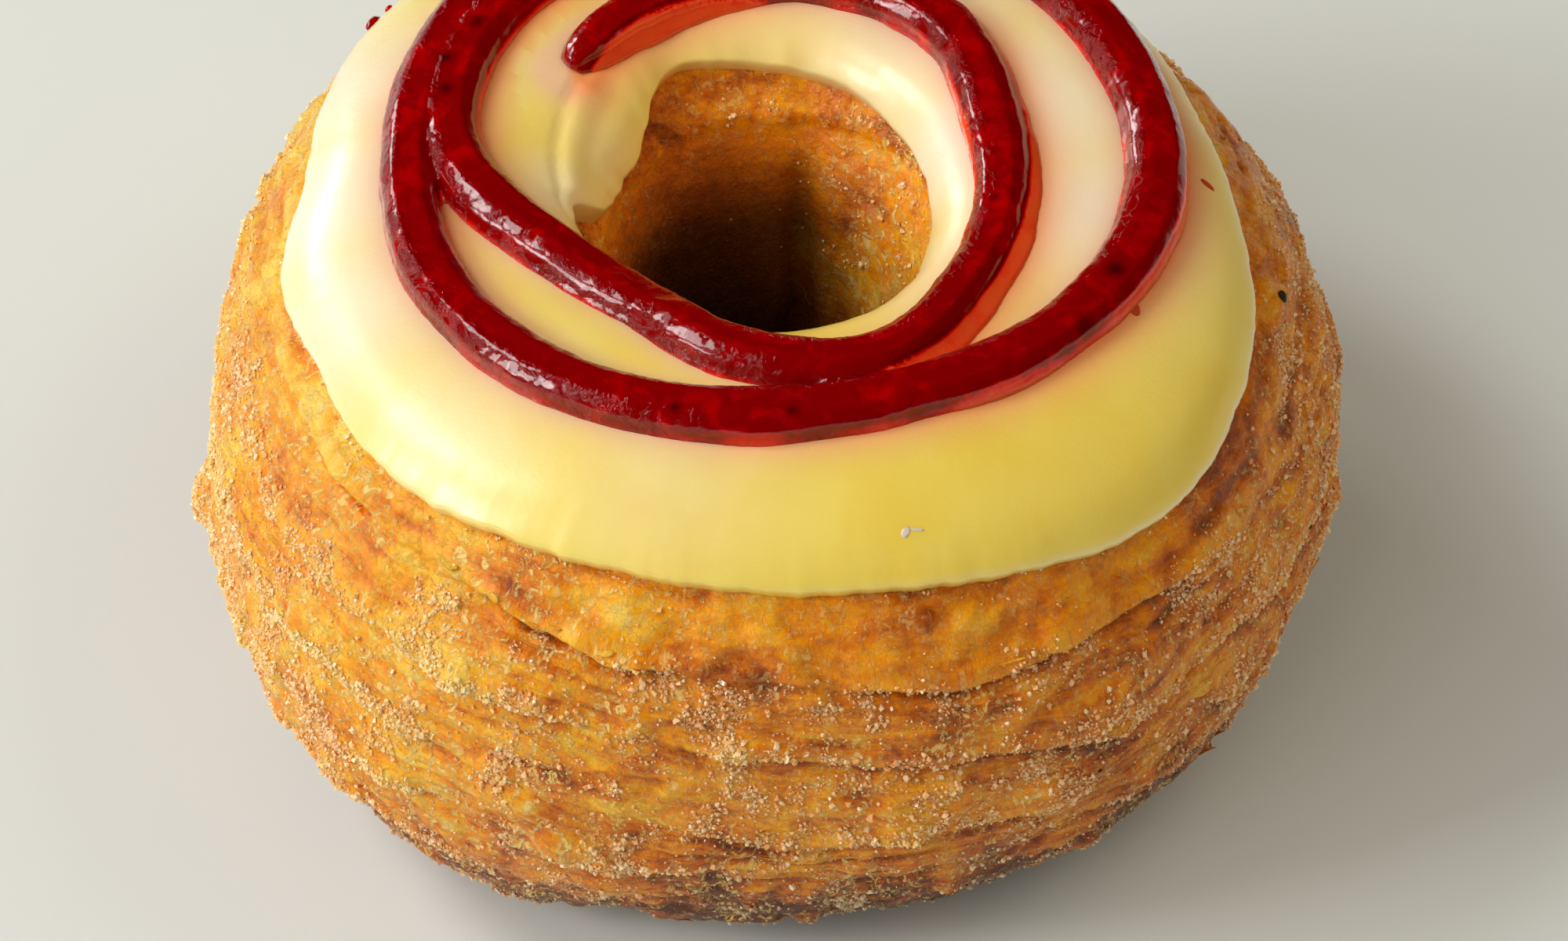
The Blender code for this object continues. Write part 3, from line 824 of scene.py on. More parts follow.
ICING_EDGE_WIDTH, ICING_BODY_WIDTH = 0.0005, 0.0050
ICING_SUNK = -0.0009
ICING_TOP_ROWS, ICING_UNDER_ROWS = 72, 8
ICING_WAVE, ICING_WAVE_SIZE = 0.00016, 0.011
ICING_RAGGED_ANGLE, ICING_RAGGED_SPREAD, ICING_RAGGED = 152.0, 26.0, 0.9
# How far the jam stains the icing and paints its red light, all round it and on its shaded side
STAIN_AND_GLOW_REACH, SHADED_GLOW_REACH = 0.0013, 0.0021

# Where the icing is painted paler, mostly painted light on its lit slopes and partly paler icing: degrees round the
# ring, tube angle, radius in metres, and how pale
ICING_PAINTED_LIGHT_PLACES = (
    (160, 64, 0.010, 0.9), (180, 63, 0.010, 1.0), (200, 63, 0.010, 0.9), (224, 66, 0.010, 0.5),
    (352, 90, 0.009, 1.0), (20, 96, 0.011, 1.0), (55, 98, 0.011, 0.8), (335, 112, 0.008, 0.6), (20, 116, 0.008, 1.0),
    (50, 112, 0.008, 0.7), (85, 100, 0.009, 0.4), (180, 110, 0.004, 0.6), (211.5, 51.5, 0.0014, 1.0),
    (255, 74, 0.008, 0.35), (160, 119, 0.005, 0.35),
)

# The fold between the icing and its tongue into the hole: (degrees round the ring, tube angle) along it
TONGUE_FOLD = (
    (100, 102), (137, 103), (149, 104.2), (155, 105.8), (163, 107.5), (171, 109.2), (178, 110.8), (185, 112.4),
    (190, 116.5), (230, 116.5),
)
TONGUE_FOLD_FROM, TONGUE_FOLD_TO, TONGUE_FOLD_FADE = 136.0, 191.0, 10.0
TONGUE_FOLD_DEPTH, TONGUE_FOLD_WIDTH_DEGREES, TONGUE_RISE = 0.00022, 0.9, 0.00032
# The painted highlight on the icing's outer rim: middle and reach in degrees round the ring, inset and width in tube
# degrees, and strength
RIM_ANGLE, RIM_SPREAD, RIM_INSET_DEGREES, RIM_WIDTH_DEGREES, RIM_PAINTED_HIGHLIGHT = 345.0, 45.0, 1.3, 1.0, 0.8
SHADOW_SIDE = (0.93, -0.37)
SECOND_TURN_STEP = 12.5
ROUTE_POINTS_PER_STEP = 56


def icing_shape():
    """The icing's points from its outer edge over the crown to its inner edge and back beneath, and the painted
    highlight on its rim.
    """
    around = np.arange(ICING_SEGMENTS) * (2 * math.pi / ICING_SEGMENTS)
    circle = ring_point(around, math.radians(50), 0.0)
    jag = ICING_JAG * noise_field(circle, ICING_JAG_SIZE, 21, 3)
    outer = read_places(ICING_OUTER_EDGE, around) + jag
    inner_circle = ring_point(around, math.radians(120), 0.0)
    ragged = ICING_INNER_JAG + ICING_RAGGED * hump(turned_from(around, ICING_RAGGED_ANGLE), ICING_RAGGED_SPREAD)
    inner = read_places(ICING_INNER_EDGE, around) + ragged * noise_field(inner_circle, ICING_JAG_SIZE, 22, 2)
    edge_height = ICING_EDGE_HEIGHT * (1 + 0.3 * noise_field(circle, 0.008, 23, 2))
    rows = []
    for row in range(ICING_TOP_ROWS + 1):
        side = -math.cos(math.pi * row / ICING_TOP_ROWS)
        share = (side + 1) / 2
        turn = outer * (1 - share) + inner * share
        reach = np.radians(np.minimum(turn - outer, inner - turn)) * OUTER_REACH
        rise = 1 - np.clip(1 - reach / ICING_EDGE_WIDTH, 0, 1) ** 2.2
        body = 1 - np.clip(1 - reach / ICING_BODY_WIDTH, 0, 1) ** 2
        lift = ICING_SUNK + (edge_height - ICING_SUNK) * np.sqrt(rise) + (ICING_BODY_HEIGHT - edge_height) * body
        rows.append((turn, lift))
    for row in range(1, ICING_UNDER_ROWS):
        share = 1 - row / ICING_UNDER_ROWS
        rows.append((outer * (1 - share) + inner * share, np.full_like(outer, ICING_SUNK)))
    turns = np.array([turn for turn, lift in rows])
    lifts = np.array([lift for turn, lift in rows])
    smooth = ring_point(around, np.radians(turns), 0.0)
    top = np.clip((lifts - ICING_EDGE_HEIGHT) / (ICING_BODY_HEIGHT - ICING_EDGE_HEIGHT), 0, 1)
    lifts = lifts + (ICING_WAVE * noise_field(smooth, ICING_WAVE_SIZE, 24, 2) + tongue_fold(around, turns)) * top
    # Painted highlight along the outer rim on the right
    rim = RIM_PAINTED_HIGHLIGHT * hump(turns - outer - RIM_INSET_DEGREES, RIM_WIDTH_DEGREES)
    rim = rim * hump(turned_from(around, RIM_ANGLE), RIM_SPREAD)
    return ring_point(around, np.radians(turns), lifts), rim


def tongue_fold(around, turns):
    """How far the icing rises or sinks at the fold where its tongue starts."""
    degrees = np.degrees(around) % 360
    shown = smooth_step(TONGUE_FOLD_FROM, TONGUE_FOLD_FROM + TONGUE_FOLD_FADE, degrees)
    shown = shown * (1 - smooth_step(TONGUE_FOLD_TO - TONGUE_FOLD_FADE, TONGUE_FOLD_TO, degrees))
    inside = turns - read_places(TONGUE_FOLD, around)
    lobe = smooth_step(0, 3, inside) * (1 - smooth_step(4, 11, inside))
    return shown * (TONGUE_RISE * lobe - TONGUE_FOLD_DEPTH * hump(inside, TONGUE_FOLD_WIDTH_DEGREES))


def jam_route(steps):
    """The strand's centre line: its angle round the ring in radians and its distance from the axis."""
    last = len(JAM_RADII) - 1
    padded = np.array((*JAM_RADII, 2 * JAM_RADII[-1] - JAM_RADII[-2], 2 * JAM_RADII[0] - JAM_RADII[1]))
    index = np.clip(np.floor(steps).astype(int), 0, last - 1)
    radius = read_curve(padded, index, steps - index)
    return np.radians(JAM_START_ANGLE - JAM_STEP * steps), radius


def route_tree(first, last):
    """A stretch of the strand's centre line on the icing, ready to be searched, and its points."""
    steps = np.linspace(first, last, 1 + round((last - first) * ROUTE_POINTS_PER_STEP))
    around, radius = jam_route(steps)
    points = ring_point(around, crown_turn(radius), ICING_LIFT)
    tree = kdtree.KDTree(len(points))
    for index, point in enumerate(points):
        tree.insert(point, index)
    tree.balance()
    return tree, points


def stain_and_glow(points):
    """How strongly the jam stains the icing at points, with its red light painted on: all round it, and as a painted
    glow on its shaded side.
    """
    near, shaded = np.zeros(len(points)), np.zeros(len(points))
    for first, last in ((0, SECOND_TURN_STEP), (SECOND_TURN_STEP, len(JAM_RADII) - 1)):
        tree, route = route_tree(first, last)
        for number, point in enumerate(points):
            found, index, distance = tree.find(point)
            beyond = max(distance - JAM_WIDTH / 2, 0.0)
            side = (point - route[index])[:2] / max(distance, 1e-9)
            shade = max(0.0, float(side @ SHADOW_SIDE)) * math.exp(-beyond / SHADED_GLOW_REACH)
            near[number] = max(near[number], math.exp(-beyond / STAIN_AND_GLOW_REACH))
            shaded[number] = max(shaded[number], shade)
    return near, shaded


def painted_light_paleness(points):
    """How pale the icing is painted at points, from 0 to 1: mostly painted light, partly paler icing."""
    pale = np.zeros(len(points))
    for degrees, turn, radius, strength in ICING_PAINTED_LIGHT_PLACES:
        middle = ring_point(math.radians(degrees), math.radians(turn), ICING_LIFT)
        pale = np.maximum(pale, strength * hump(np.linalg.norm(points - middle, axis=-1), radius))
    return pale


def icing_material():
    """Set custard-yellow icing, smooth and glossy, stained where the jam touches it, with painted light where it is
    paler and painted glow beside the jam.
    """
    made, tree, shader = new_material("custard_icing")
    place = read_attribute(tree, "ring_place")["Vector"]
    near = read_attribute(tree, "jam_near")["Fac"]
    shaded = read_attribute(tree, "jam_shade")["Fac"]
    cloud = noise_texture(tree, place, 0.12, 3.0, 0.5, 0.4)
    deep = mixed(tree, ranged(tree, cloud, 0.35, 0.65), rgb(252, 218, 84), rgb(253, 226, 104))
    # Paler where light is painted on; pink near the jam, stained and with its red light painted on; orange on its
    # shaded side, a painted glow of light through the jam in its shadow
    plain = mixed(tree, read_attribute(tree, "pale")["Fac"], deep, rgb(254, 236, 204))
    pink = mixed(tree, ranged(tree, near, 0.05, 0.9, 0.0, 0.75), plain, rgb(253, 200, 170))
    shaded_glow = mixed(tree, ranged(tree, shaded, 0.1, 0.9, 0.0, 0.80), pink, rgb(252, 138, 58))
    tree.links.new(shaded_glow, shader.inputs["Base Color"])
    ripple = noise_texture(tree, place, 0.5, 3.0, 0.5)
    grain = noise_texture(tree, place, 3.0, 2.0, 0.5)
    tree.links.new(ranged(tree, ripple, 0.3, 0.7, 0.30, 0.42), shader.inputs["Roughness"])
    tree.links.new(bump(tree, grain, 0.000012, below=bump(tree, ripple, 0.00005)), shader.inputs["Normal"])
    shader.inputs["Subsurface Weight"].default_value = 0.3
    shader.inputs["Subsurface Radius"].default_value = (1.0, 0.85, 0.5)
    shader.inputs["Subsurface Scale"].default_value = 0.0012
    shader.inputs["Coat Weight"].default_value = 0.85
    shader.inputs["Coat Roughness"].default_value = 0.33
    shader.inputs["Coat IOR"].default_value = 1.6
    return made


def icing(material):
    """The coat of icing on the crown, with its uneven edge and the tongue that runs into the hole."""
    points, rim = icing_shape()
    flat = points.reshape(-1, 3)
    rows, segments = points.shape[:2]
    made = mesh_object("icing_coat", points, ring_faces(rows, segments))
    near, shaded = stain_and_glow(flat)
    add_attribute(made, "jam_near", near)
    add_attribute(made, "jam_shade", shaded)
    # The pale attribute carries painted light and the painted highlight on the rim
    add_attribute(made, "pale", np.maximum(painted_light_paleness(flat), rim.ravel()))
    add_attribute(made, "ring_place", flat / MM)
    dress(made, material, "icing", "icing")
    return points


# The jam

# A cross-section of the strand, from its left foot clockwise: share of the half width, share of the height
JAM_SECTION = (
    (-1.10, -0.30), (-1.06, 0.06), (-0.99, 0.15), (-0.95, 0.34), (-0.90, 0.54), (-0.84, 0.64), (-0.66, 0.80),
    (-0.48, 0.94), (-0.40, 0.98), (-0.2, 0.97), (0.0, 0.96), (0.2, 0.97), (0.40, 0.98), (0.48, 0.94), (0.66, 0.80),
    (0.84, 0.64), (0.90, 0.54), (0.95, 0.34), (0.99, 0.15), (1.06, 0.06), (1.10, -0.30), (0.5, -0.34), (-0.5, -0.34),
)
JAM_SIT = 0.00005
JAM_SKIRT = 0.12

# On its shaded side the strand's wall stands further in, on a thin foot painted bright for the light that glows
# through the gel; less so further along its way
FOOT_FROM, FOOT_TO = 0.45, 0.90
FOOT_PULL = 0.32
FOOT_NARROWS_STEP, NARROW_FOOT = 9.0, 0.25
FOOT_THIN_STEP, FOOT_THIN_SPREAD, FOOT_THINNED = 3.9, 0.95, 0.7
FOOT_LINE_WIDTH = 0.05

# Dark seeds and bits of fruit in the gel: degrees round the ring, tube angle and radius in metres
JAM_SEEDS = (
    (156.5, 83.8, 0.00045), (163.2, 86.5, 0.00045), (146.8, 84.2, 0.00055), (329.2, 97.5, 0.00050),
    (324.2, 80.0, 0.00090), (336.0, 82.0, 0.00070), (348.2, 105.0, 0.00035), (273.2, 85.5, 0.00045),
    (254.8, 84.2, 0.00035), (60.0, 95.0, 0.00050), (90.0, 80.0, 0.00060),
)
JAM_RIPPLE, JAM_RIPPLE_SIZE = 0.00006, 0.0020
JAM_WRINKLE, JAM_WRINKLE_SIZE = 0.00003, 0.0005


def rounded_end(share, least):
    """A strand's width along its end, from least at the tip to 1, as a share of the full width."""
    return least + (1 - least) * np.sqrt(1 - (1 - np.clip(share, 0, 1)) ** 2)


def foot_share(steps, towards_shade):
    """How far the strand's thin foot shows, from 0 to 1, by the step of its way and by how far a side faces the shade."""
    along = 1 - (1 - NARROW_FOOT) * smooth_step(FOOT_NARROWS_STEP - 0.5, FOOT_NARROWS_STEP + 0.5, steps)
    along = along * (1 - FOOT_THINNED * hump(steps - FOOT_THIN_STEP, FOOT_THIN_SPREAD))
    return smooth_step(FOOT_FROM, FOOT_TO, towards_shade) * along


def jam_strand(name, first, last, first_width, last_width):
    """One stretch of the strand, from one step to another of its way, narrowing to each end."""
    count = round((last - first) * JAM_SECTIONS_PER_STEP) + 1
    steps = np.linspace(first, last, count)
    around, radius = jam_route(steps)
    centre = np.stack([radius * np.cos(around), radius * np.sin(around)], -1)
    along = np.gradient(centre, axis=0)
    along /= np.linalg.norm(along, axis=1)[:, None]
    left = np.stack([-along[:, 1], along[:, 0]], -1)
    opening = rounded_end((steps - first) / JAM_TAPER_STEPS, first_width)
    closing = rounded_end((last - steps) / JAM_TAPER_STEPS, last_width)
    line = np.stack([steps * 12 * MM, 0 * steps, 0 * steps], -1)
    size = opening * closing
    width = size * JAM_WIDTH / 2 * (1 + 0.10 * noise_field(line, 0.006, 41, 2))
    height = size * (JAM_HEIGHT - JAM_SIT) * (1 + 0.06 * noise_field(line, 0.005, 42, 2))
    columns = []
    shaded = left @ np.array(SHADOW_SIDE)
    for side, rise in JAM_SECTION:
        towards_shade = np.clip(math.copysign(1, side) * shaded, 0, 1)
        foot = foot_share(steps, towards_shade)
        skirt = JAM_SKIRT * (1.5 * foot - 0.5 * towards_shade) * (abs(side) > 1)
        pull = FOOT_PULL * foot * (0.4 < abs(side) < 0.96)
        place = centre + left * (side * (1 + skirt - pull) * width)[:, None]
        tube = crown_turn(np.hypot(place[:, 0], place[:, 1]))
        columns.append(ring_point(np.arctan2(place[:, 1], place[:, 0]), tube, ICING_LIFT + JAM_SIT + height * rise))
    return capped_tube(name, np.stack(columns, 1))


def capped_tube(name, sections):
    """A mesh object from closed cross-sections in a line, with a face on each end."""
    rows, count = sections.shape[:2]
    faces = []
    for row in range(rows - 1):
        for index in range(count):
            after = (index + 1) % count
            start = row * count
            faces.append((start + index, start + after, start + count + after, start + count + index))
    faces.append(tuple(range(count))[::-1])
    faces.append(tuple(range((rows - 1) * count, rows * count)))
    return mesh_object(name, sections, faces)


def remeshed(pieces, name, voxel):
    """Fuses overlapping pieces into one even mesh and removes them."""
    with bpy.context.temp_override(active_object=pieces[0], selected_editable_objects=pieces):
        bpy.ops.object.join()
    fuse = pieces[0].modifiers.new("fuse", "REMESH")
    fuse.mode = "VOXEL"
    fuse.voxel_size = voxel
    graph = bpy.context.evaluated_depsgraph_get()
    mesh = bpy.data.meshes.new_from_object(pieces[0].evaluated_get(graph))
    mesh.name = name
    bpy.data.objects.remove(pieces[0])
    made = bpy.data.objects.new(name, mesh)
    bpy.context.scene.collection.objects.link(made)
    return made


def mesh_points(piece):
    """The points and normals of a mesh."""
    count = len(piece.data.vertices)
    points, normals = np.zeros(count * 3), np.zeros(count * 3)
    piece.data.vertices.foreach_get("co", points)
    piece.data.vertices.foreach_get("normal", normals)
    return points.reshape(-1, 3), normals.reshape(-1, 3)


def jam_material():
    """Clear red jam gel: deep red where it is thick, scarlet in its thin feet, with a wrinkled wet skin."""
    made, tree, shader = new_material("jam_gel")
    place = read_attribute(tree, "ring_place")["Vector"]
    thickness = read_attribute(tree, "thickness")["Fac"]
    cloud = noise_texture(tree, place, 0.45, 4.0, 0.6, 0.5)
    depth = calculate(tree, "ADD", thickness, ranged(tree, cloud, 0.3, 0.7, -0.16, 0.16), clamp=True)
    colour = ramp(tree, depth, (
        (0.0, rgb(255, 84, 34)),
        (0.22, rgb(255, 48, 18)),
        (0.5, rgb(222, 10, 4)),
        (0.8, rgb(182, 0, 3)),
        (1.0, rgb(138, 0, 2)),
    ))
    seeded = mixed(tree, read_attribute(tree, "dark")["Fac"], colour, rgb(50, 0, 5))
    tree.links.new(seeded, shader.inputs["Base Color"])
    wrinkle = noise_texture(tree, place, 1.5, 4.0, 0.62, 1.0)
    fine = noise_texture(tree, place, 4.5, 3.0, 0.6, 0.5)
    torn = ranged(tree, noise_texture(tree, place, 0.50, 3.0, 0.6, 0.8), 0.47, 0.53)
    puckered = calculate(tree, "MULTIPLY", torn, read_attribute(tree, "shoulder")["Fac"])
    skin = calculate(tree, "MULTIPLY", puckered, wrinkle)
    smooth_skin = bump(tree, fine, 0.00001, below=bump(tree, wrinkle, 0.00004))
    tree.links.new(bump(tree, skin, 0.00045, below=smooth_skin), shader.inputs["Normal"])
    shader.inputs["Roughness"].default_value = 0.12
    shader.inputs["IOR"].default_value = 1.42
    shader.inputs["Specular IOR Level"].default_value = 0.5
    shader.inputs["Subsurface Weight"].default_value = 0.8
    shader.inputs["Subsurface Radius"].default_value = (1.0, 0.06, 0.02)
    shader.inputs["Subsurface Scale"].default_value = 0.0022
    shader.inputs["Coat Weight"].default_value = 0.6
    shader.inputs["Coat Roughness"].default_value = 0.05
    return made


def jam(material):
    """The two turns of jam gel, piped clockwise from the hole outwards."""
    end = len(JAM_RADII) - 1
    inner = jam_strand("jam_inner", 0, JAM_SPLIT_STEP, JAM_END_WIDTH, JAM_SPLIT_WIDTH)
    outer_start = JAM_SPLIT_STEP - JAM_SPLIT_OVERLAP
    outer = jam_strand("jam_outer", outer_start, end, JAM_END_WIDTH, JAM_END_WIDTH)
    made = remeshed([inner, outer], "jam_gel_swirl", JAM_VOXEL)
    points, normals = mesh_points(made)
    ripple = JAM_RIPPLE * noise_field(points, JAM_RIPPLE_SIZE, 43, 2)
    wrinkle = JAM_WRINKLE * noise_field(points, JAM_WRINKLE_SIZE, 44, 2)
    points = points + normals * (ripple + wrinkle)[:, None]
    made.data.vertices.foreach_set("co", points.ravel())
    made.data.update()
    made.data.shade_smooth()
    tree, route = route_tree(0, end)
    nearest = np.array([tree.find(point)[1] for point in points])
    offsets = points[:, :2] - route[nearest][:, :2]
    across = np.linalg.norm(offsets, axis=1)
    facing = offsets @ np.array(SHADOW_SIDE) / np.maximum(across, 1e-9)
    # The scarlet foot reaches further in on the shaded side, a painted glow of light through the gel, and a dark line
    # where it starts is painted shade in the crease
    wide = foot_share(nearest / ROUTE_POINTS_PER_STEP, np.clip(facing, 0, 1))
    share = across / (JAM_WIDTH / 2)
    start = 0.98 - 0.42 * wide
    foot = smooth_step(start, 1.16 - 0.48 * wide, share)
    line = wide * hump(share - start, FOOT_LINE_WIDTH)
    seeds = np.zeros(len(points))
    for degrees, turn, radius in JAM_SEEDS:
        middle = ring_point(math.radians(degrees), math.radians(turn), ICING_LIFT + JAM_HEIGHT)
        seeds = np.maximum(seeds, hump(np.linalg.norm(points - middle, axis=1), radius) ** 0.7)
    lit = np.clip(0.35 - facing, 0, 1)
    add_attribute(made, "thickness", 1 - foot)
    add_attribute(made, "dark", np.maximum(0.85 * seeds, 0.4 * line))
    add_attribute(made, "shoulder", lit * smooth_step(0.35, 0.60, share))
    add_attribute(made, "ring_place", points / MM)
    dress(made, material, "jam", "jam_swirl")


# The small things that lie on it

# Each is given by degrees round the ring, tube angle, half its length, width and height in millimetres, its twist
# and its tilt in degrees
SPECKS = (
    (353.0, 43.25, 0.56, 0.46, 0.34, 60, 0), (325.75, -8.25, 0.26, 0.20, 0.16, 0, 0),
    (303.0, -1.0, 0.18, 0.15, 0.12, 0, 0), (338.0, 6.0, 0.20, 0.16, 0.12, 40, 0),
)
SLIVERS = (
    (294.0, 29.0, 1.10, 0.12, 0.08, 8, 20), (310.75, 35.25, 1.70, 0.09, 0.07, -52, 12),
    (152.0, 47.0, 0.9, 0.22, 0.08, 0, -40), (270.0, -2.0, 1.2, 0.12, 0.08, 5, 15),
)
DROPS = (
    (334.0, 75.9, 0.62, 0.42, 0.16, 30, 0), (1.3, 68.5, 0.70, 0.28, 0.16, 60, 0),
    (144.0, 50.5, 0.95, 0.60, 0.55, 10, 0), (141.5, 51.5, 0.40, 0.30, 0.30, 0, 0),
)
DROP_THICKNESS = (0.0, 0.05, 1.0, 0.9)
CHIPS = ((286.0, 61.7, 0.50, 0.34, 0.05, 40, 0), (287.4, 61.3, 0.55, 0.15, 0.04, -18, 0))
FLAKES_SEED, FLAKE_COUNT = 8, 130
FLAKE_LENGTH, FLAKE_WIDTH, FLAKE_THICKNESS = (0.45, 1.30), (0.22, 0.50), (0.04, 0.07)
FLAKE_TWIST, FLAKE_TILT = (-18, 18), (5, 42)
SLIVER_CURL = 0.12


def spots(points, places):
    """The points of a grid nearest to places on the ring, and its outward directions there."""
    normals = grid_normals(points).reshape(-1, 3)
    flat = points.reshape(-1, 3)
    found = []
    for place in places:
        target = ring_point(math.radians(place[0]), math.radians(place[1]), ICING_LIFT / 2)
        found.append(np.argmin(np.linalg.norm(flat - target, axis=1)))
    return found, flat[found], normals[found]


def bits(name, centres, normals, sizes, twists, tilts, curl=0.0):
    """One mesh of small uneven bits, each of its own half length, width and height, lying on a surface."""
    corners, faces = rounded_shape(2)
    count = len(centres)
    along = np.cross((0.0, 0.0, 1.0), normals)
    along /= np.maximum(np.linalg.norm(along, axis=1, keepdims=True), 1e-9)
    across = np.cross(normals, along)
    twists, tilts = np.radians(twists)[:, None], np.radians(tilts)[:, None]
    first = along * np.cos(twists) + across * np.sin(twists)
    second = across * np.cos(twists) - along * np.sin(twists)
    third = normals * np.cos(tilts) + second * np.sin(tilts)
    second = second * np.cos(tilts) - normals * np.sin(tilts)
    uneven = 1 + 0.25 * noise_field(corners[None] + 7.0 * np.arange(count)[:, None, None], 0.8, 61, 2)
    shaped = corners[None] * uneven[..., None] * np.asarray(sizes)[:, None] * MM
    shaped[..., 2] += curl * np.asarray(sizes)[:, None, 0] * MM * corners[None, :, 0] ** 2
    points = centres[:, None] + shaped[..., :1] * first[:, None] + shaped[..., 1:2] * second[:, None]
    points = held_in_box(points + shaped[..., 2:] * third[:, None])
    offsets = np.arange(count)[:, None, None] * len(corners)
    all_faces = (np.asarray(faces)[None] + offsets).reshape(-1, 3).tolist()
    made = mesh_object(name, points, all_faces)
    add_attribute(made, "ring_place", points.reshape(-1, 3) / MM)
    return made, len(corners)


def placed_bits(name, places, surface, curl=0.0):
    """Bits from a table of places, and the surface's points that they lie on."""
    found, centres, normals = spots(surface, places)
    table = np.array(places, float)
    made, corners = bits(name, centres, normals, table[:, 2:5], table[:, 5], table[:, 6], curl)
    return made, corners, found


def dress_in_crust(made, fields, cells, corners, paler, material):
    """Gives bits of dough the crust's material, a little paler than the crust that they lie on."""
    toast = np.repeat(fields["toast"].ravel()[cells] - paler, corners)
    add_attribute(made, "toast", toast)
    add_attribute(made, "sugar", np.full(len(toast), 0.15))
    add_attribute(made, "liveliness", np.full(len(toast), 0.5))
    add_attribute(made, "deep", np.zeros(len(toast)))
    add_attribute(made, "film", np.full(len(toast), 0.8))
    add_attribute(made, "layer_place", np.repeat(fields["smooth"].reshape(-1, 3)[cells] / MM, corners, axis=0))
    dress(made, material, "crust")


def flakes(fields, material):
    """Thin flakes of torn dough along the lips of the layers."""
    draw = np.random.default_rng(FLAKES_SEED)
    density = np.clip(fields["lip"], 0, None) ** 1.5
    weight = density[:-1].ravel()
    cells = draw.choice(len(weight), size=FLAKE_COUNT, p=weight / weight.sum())
    centres = fields["points"].reshape(-1, 3)[cells]
    normals = grid_normals(fields["points"]).reshape(-1, 3)[cells]
    ranges = (FLAKE_LENGTH, FLAKE_WIDTH, FLAKE_THICKNESS, FLAKE_TWIST, FLAKE_TILT)
    lengths, widths, heights, twists, tilts = (draw.uniform(*limits, FLAKE_COUNT) for limits in ranges)
    sizes = np.stack([lengths, widths, heights], -1)
    made, corners = bits("crust_flakes", centres, normals, sizes, twists, tilts, SLIVER_CURL)
    dress_in_crust(made, fields, cells, corners, 0.02, material)


def speck_material():
    """Burnt crumbs, nearly black."""
    made, tree, shader = new_material("burnt_crumb")
    cloud = noise_texture(tree, read_attribute(tree, "ring_place")["Vector"], 4.0, 3.0, 0.6)
    dark = mixed(tree, ranged(tree, cloud, 0.35, 0.65), rgb(14, 12, 12), rgb(52, 36, 26))
    tree.links.new(dark, shader.inputs["Base Color"])
    tree.links.new(ranged(tree, cloud, 0.35, 0.65, 0.35, 0.65), shader.inputs["Roughness"])
    tree.links.new(bump(tree, cloud, 0.00006), shader.inputs["Normal"])
    return made


def small_things(fields, icing_points, fried, custard, gel):
    """Burnt specks, slivers and flakes on the crust, and drops of jam and a chip on the icing."""
    specks, corners, cells = placed_bits("burnt_specks", SPECKS, fields["points"])
    dress(specks, speck_material(), "crust")
    slivers, corners, cells = placed_bits("crust_slivers", SLIVERS, fields["points"], SLIVER_CURL)
    dress_in_crust(slivers, fields, cells, corners, 0.14, fried)
    flakes(fields, fried)
    drops, corners, cells = placed_bits("jam_drops", DROPS, icing_points)
    add_attribute(drops, "thickness", np.repeat(DROP_THICKNESS, corners))
    for name in ("shoulder", "dark"):
        add_attribute(drops, name, np.zeros(len(drops.data.vertices)))
    dress(drops, gel, "jam")
    chip, corners, cells = placed_bits("icing_chip", CHIPS, icing_points)
    for name, value in (("jam_near", 0.0), ("jam_shade", 0.0), ("pale", 1.0)):
        add_attribute(chip, name, np.full(len(chip.data.vertices), value))
    dress(chip, custard, "icing")


# The stage

CAMERA_ELEVATION = 47.0
CAMERA_DISTANCE = 0.600
CAMERA_AIM = (0.0013, -0.00405, 0.01804)
CAMERA_LENS, SENSOR_WIDTH = 176.58, 36.0
# Square soft lights one metre away: azimuth anticlockwise from +X, elevation, side in metres, power in watts,
# colour, and whether it shows in highlights
LIGHT_DISTANCE = 1.0
DAYLIGHT, WARM_LIGHT = (1.0, 0.98, 0.95), (1.0, 0.85, 0.62)
LIGHTS = (
    ("window_light", 200.0, 32.0, 0.30, 3.7, DAYLIGHT, True),
    ("upper_light", 168.0, 50.0, 0.30, 3.1, DAYLIGHT, True),
    ("back_light", 137.0, 20.0, 0.26, 2.2, DAYLIGHT, True),
    ("front_fill", 228.0, 42.0, 0.80, 2.8, DAYLIGHT, False),
    ("right_fill", 10.0, 46.0, 0.80, 2.9, WARM_LIGHT, False),
)
WORLD_COLOUR, WORLD_BEHIND, WORLD_IN_FRONT = (1.0, 0.97, 0.92, 1.0), 0.015, 0.26


def direction(azimuth, elevation):
    """The unit vector towards an azimuth, anticlockwise from +X, and an elevation, in degrees."""
    azimuth, elevation = math.radians(azimuth), math.radians(elevation)
    flat = math.cos(elevation)
    return Vector((flat * math.cos(azimuth), flat * math.sin(azimuth), math.sin(elevation)))


def soft_light(name, azimuth, elevation, side, power, colour, in_highlights):
    """A square soft light that faces the doughnut."""
    data = bpy.data.lights.new(name, "AREA")
    data.size = side
    data.energy = power
    data.color = colour
    made = bpy.data.objects.new(name, data)
    bpy.context.scene.collection.objects.link(made)
    towards = direction(azimuth, elevation)
    made.location = towards * LIGHT_DISTANCE
    made.rotation_euler = towards.to_track_quat("Z", "Y").to_euler()
    made.visible_glossy = in_highlights
    return made


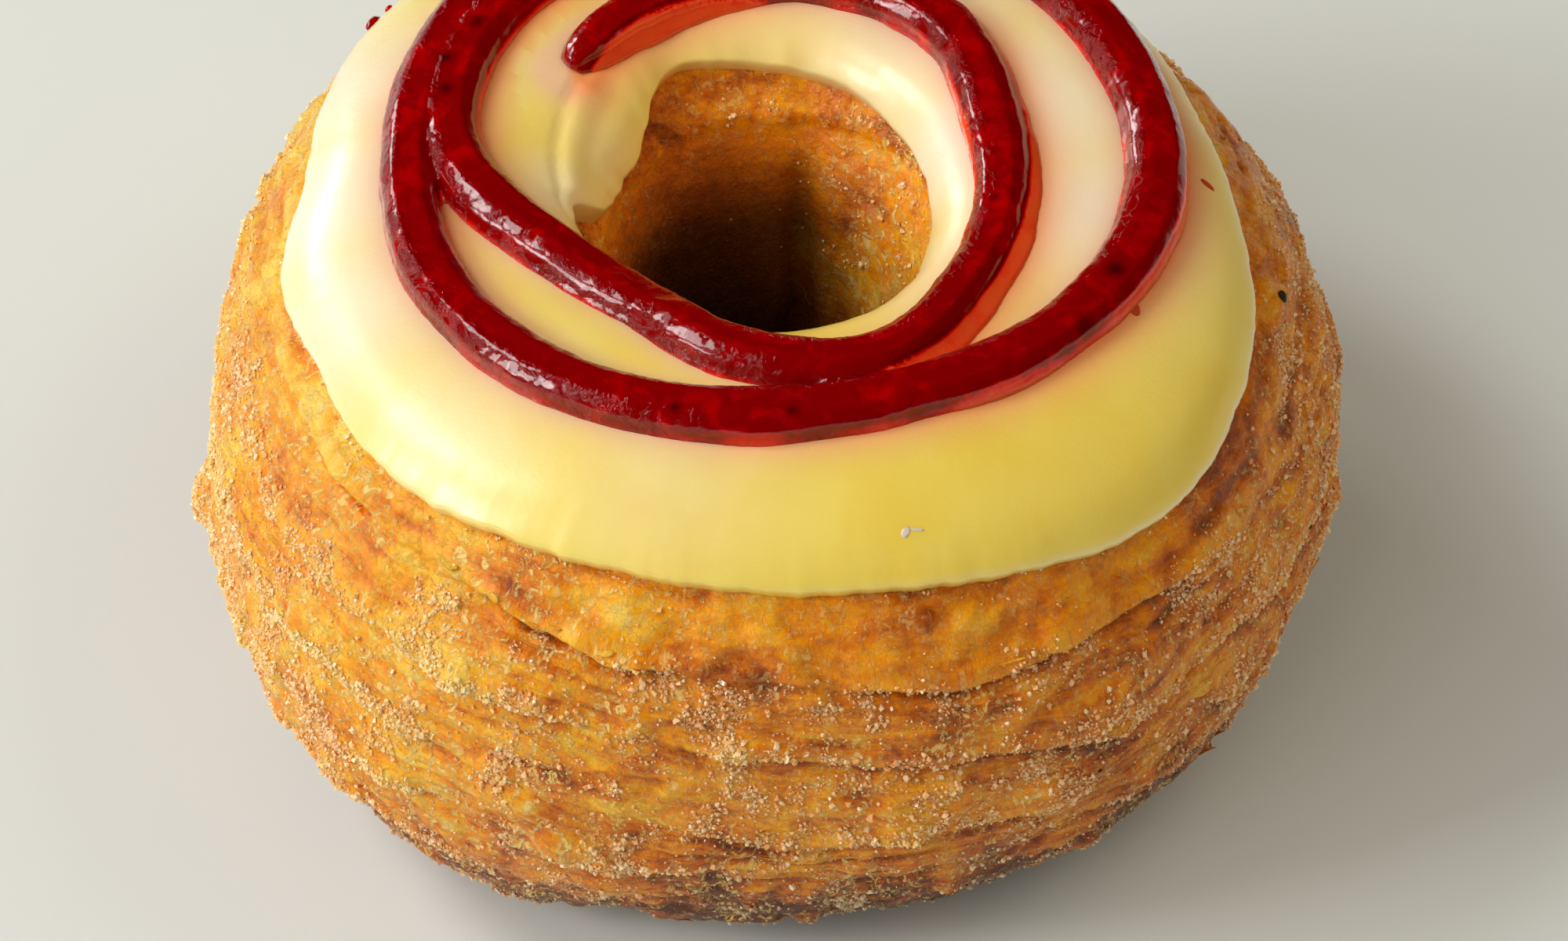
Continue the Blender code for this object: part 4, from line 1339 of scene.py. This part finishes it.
def studio():
    """A plain pale floor, soft light mostly from the left, and a camera at the photograph's angle."""
    floor_mesh = bpy.data.meshes.new("floor")
    half = 1.5
    corners = [(-half, -half, 0), (half, -half, 0), (half, half, 0), (-half, half, 0)]
    floor_mesh.from_pydata([(x, y, -0.0001) for x, y, z in corners], [], [(0, 1, 2, 3)])
    floor = bpy.data.objects.new("floor", floor_mesh)
    bpy.context.scene.collection.objects.link(floor)
    material, tree, shader = new_material("pale_floor")
    shader.inputs["Base Color"].default_value = rgb(226, 231, 228)
    shader.inputs["Roughness"].default_value = 0.5
    floor_mesh.materials.append(material)

    for light in LIGHTS:
        soft_light(*light)
    world = bpy.data.worlds.new("studio")
    world.use_nodes = True
    background = world.node_tree.nodes["Background"]
    background.inputs["Color"].default_value = WORLD_COLOUR
    towards = add_node(world.node_tree, "ShaderNodeSeparateXYZ")
    place = add_node(world.node_tree, "ShaderNodeTexCoord").outputs["Generated"]
    world.node_tree.links.new(place, towards.inputs["Vector"])
    strength = ranged(world.node_tree, towards.outputs["Y"], -0.6, 0.5, WORLD_IN_FRONT, WORLD_BEHIND)
    world.node_tree.links.new(strength, background.inputs["Strength"])
    world.cycles_visibility.glossy = False
    bpy.context.scene.world = world

    data = bpy.data.cameras.new("camera")
    data.lens = CAMERA_LENS
    data.sensor_width = SENSOR_WIDTH
    camera = bpy.data.objects.new("camera", data)
    bpy.context.scene.collection.objects.link(camera)
    back = direction(270.0, CAMERA_ELEVATION)
    camera.location = Vector(CAMERA_AIM) + back * CAMERA_DISTANCE
    camera.rotation_euler = back.to_track_quat("Z", "Y").to_euler()
    bpy.context.scene.camera = camera
    bpy.context.scene.view_settings.view_transform = "Standard"


def main():
    around = np.arange(CRUST_SEGMENTS) * (2 * math.pi / CRUST_SEGMENTS)
    fields = crust_fields(around)
    studio()
    fried, custard, gel = crust_material(), icing_material(), jam_material()
    crust(fields, fried)
    sugar(fields)
    icing_points = icing(custard)
    jam(gel)
    small_things(fields, icing_points, fried, custard, gel)


main()
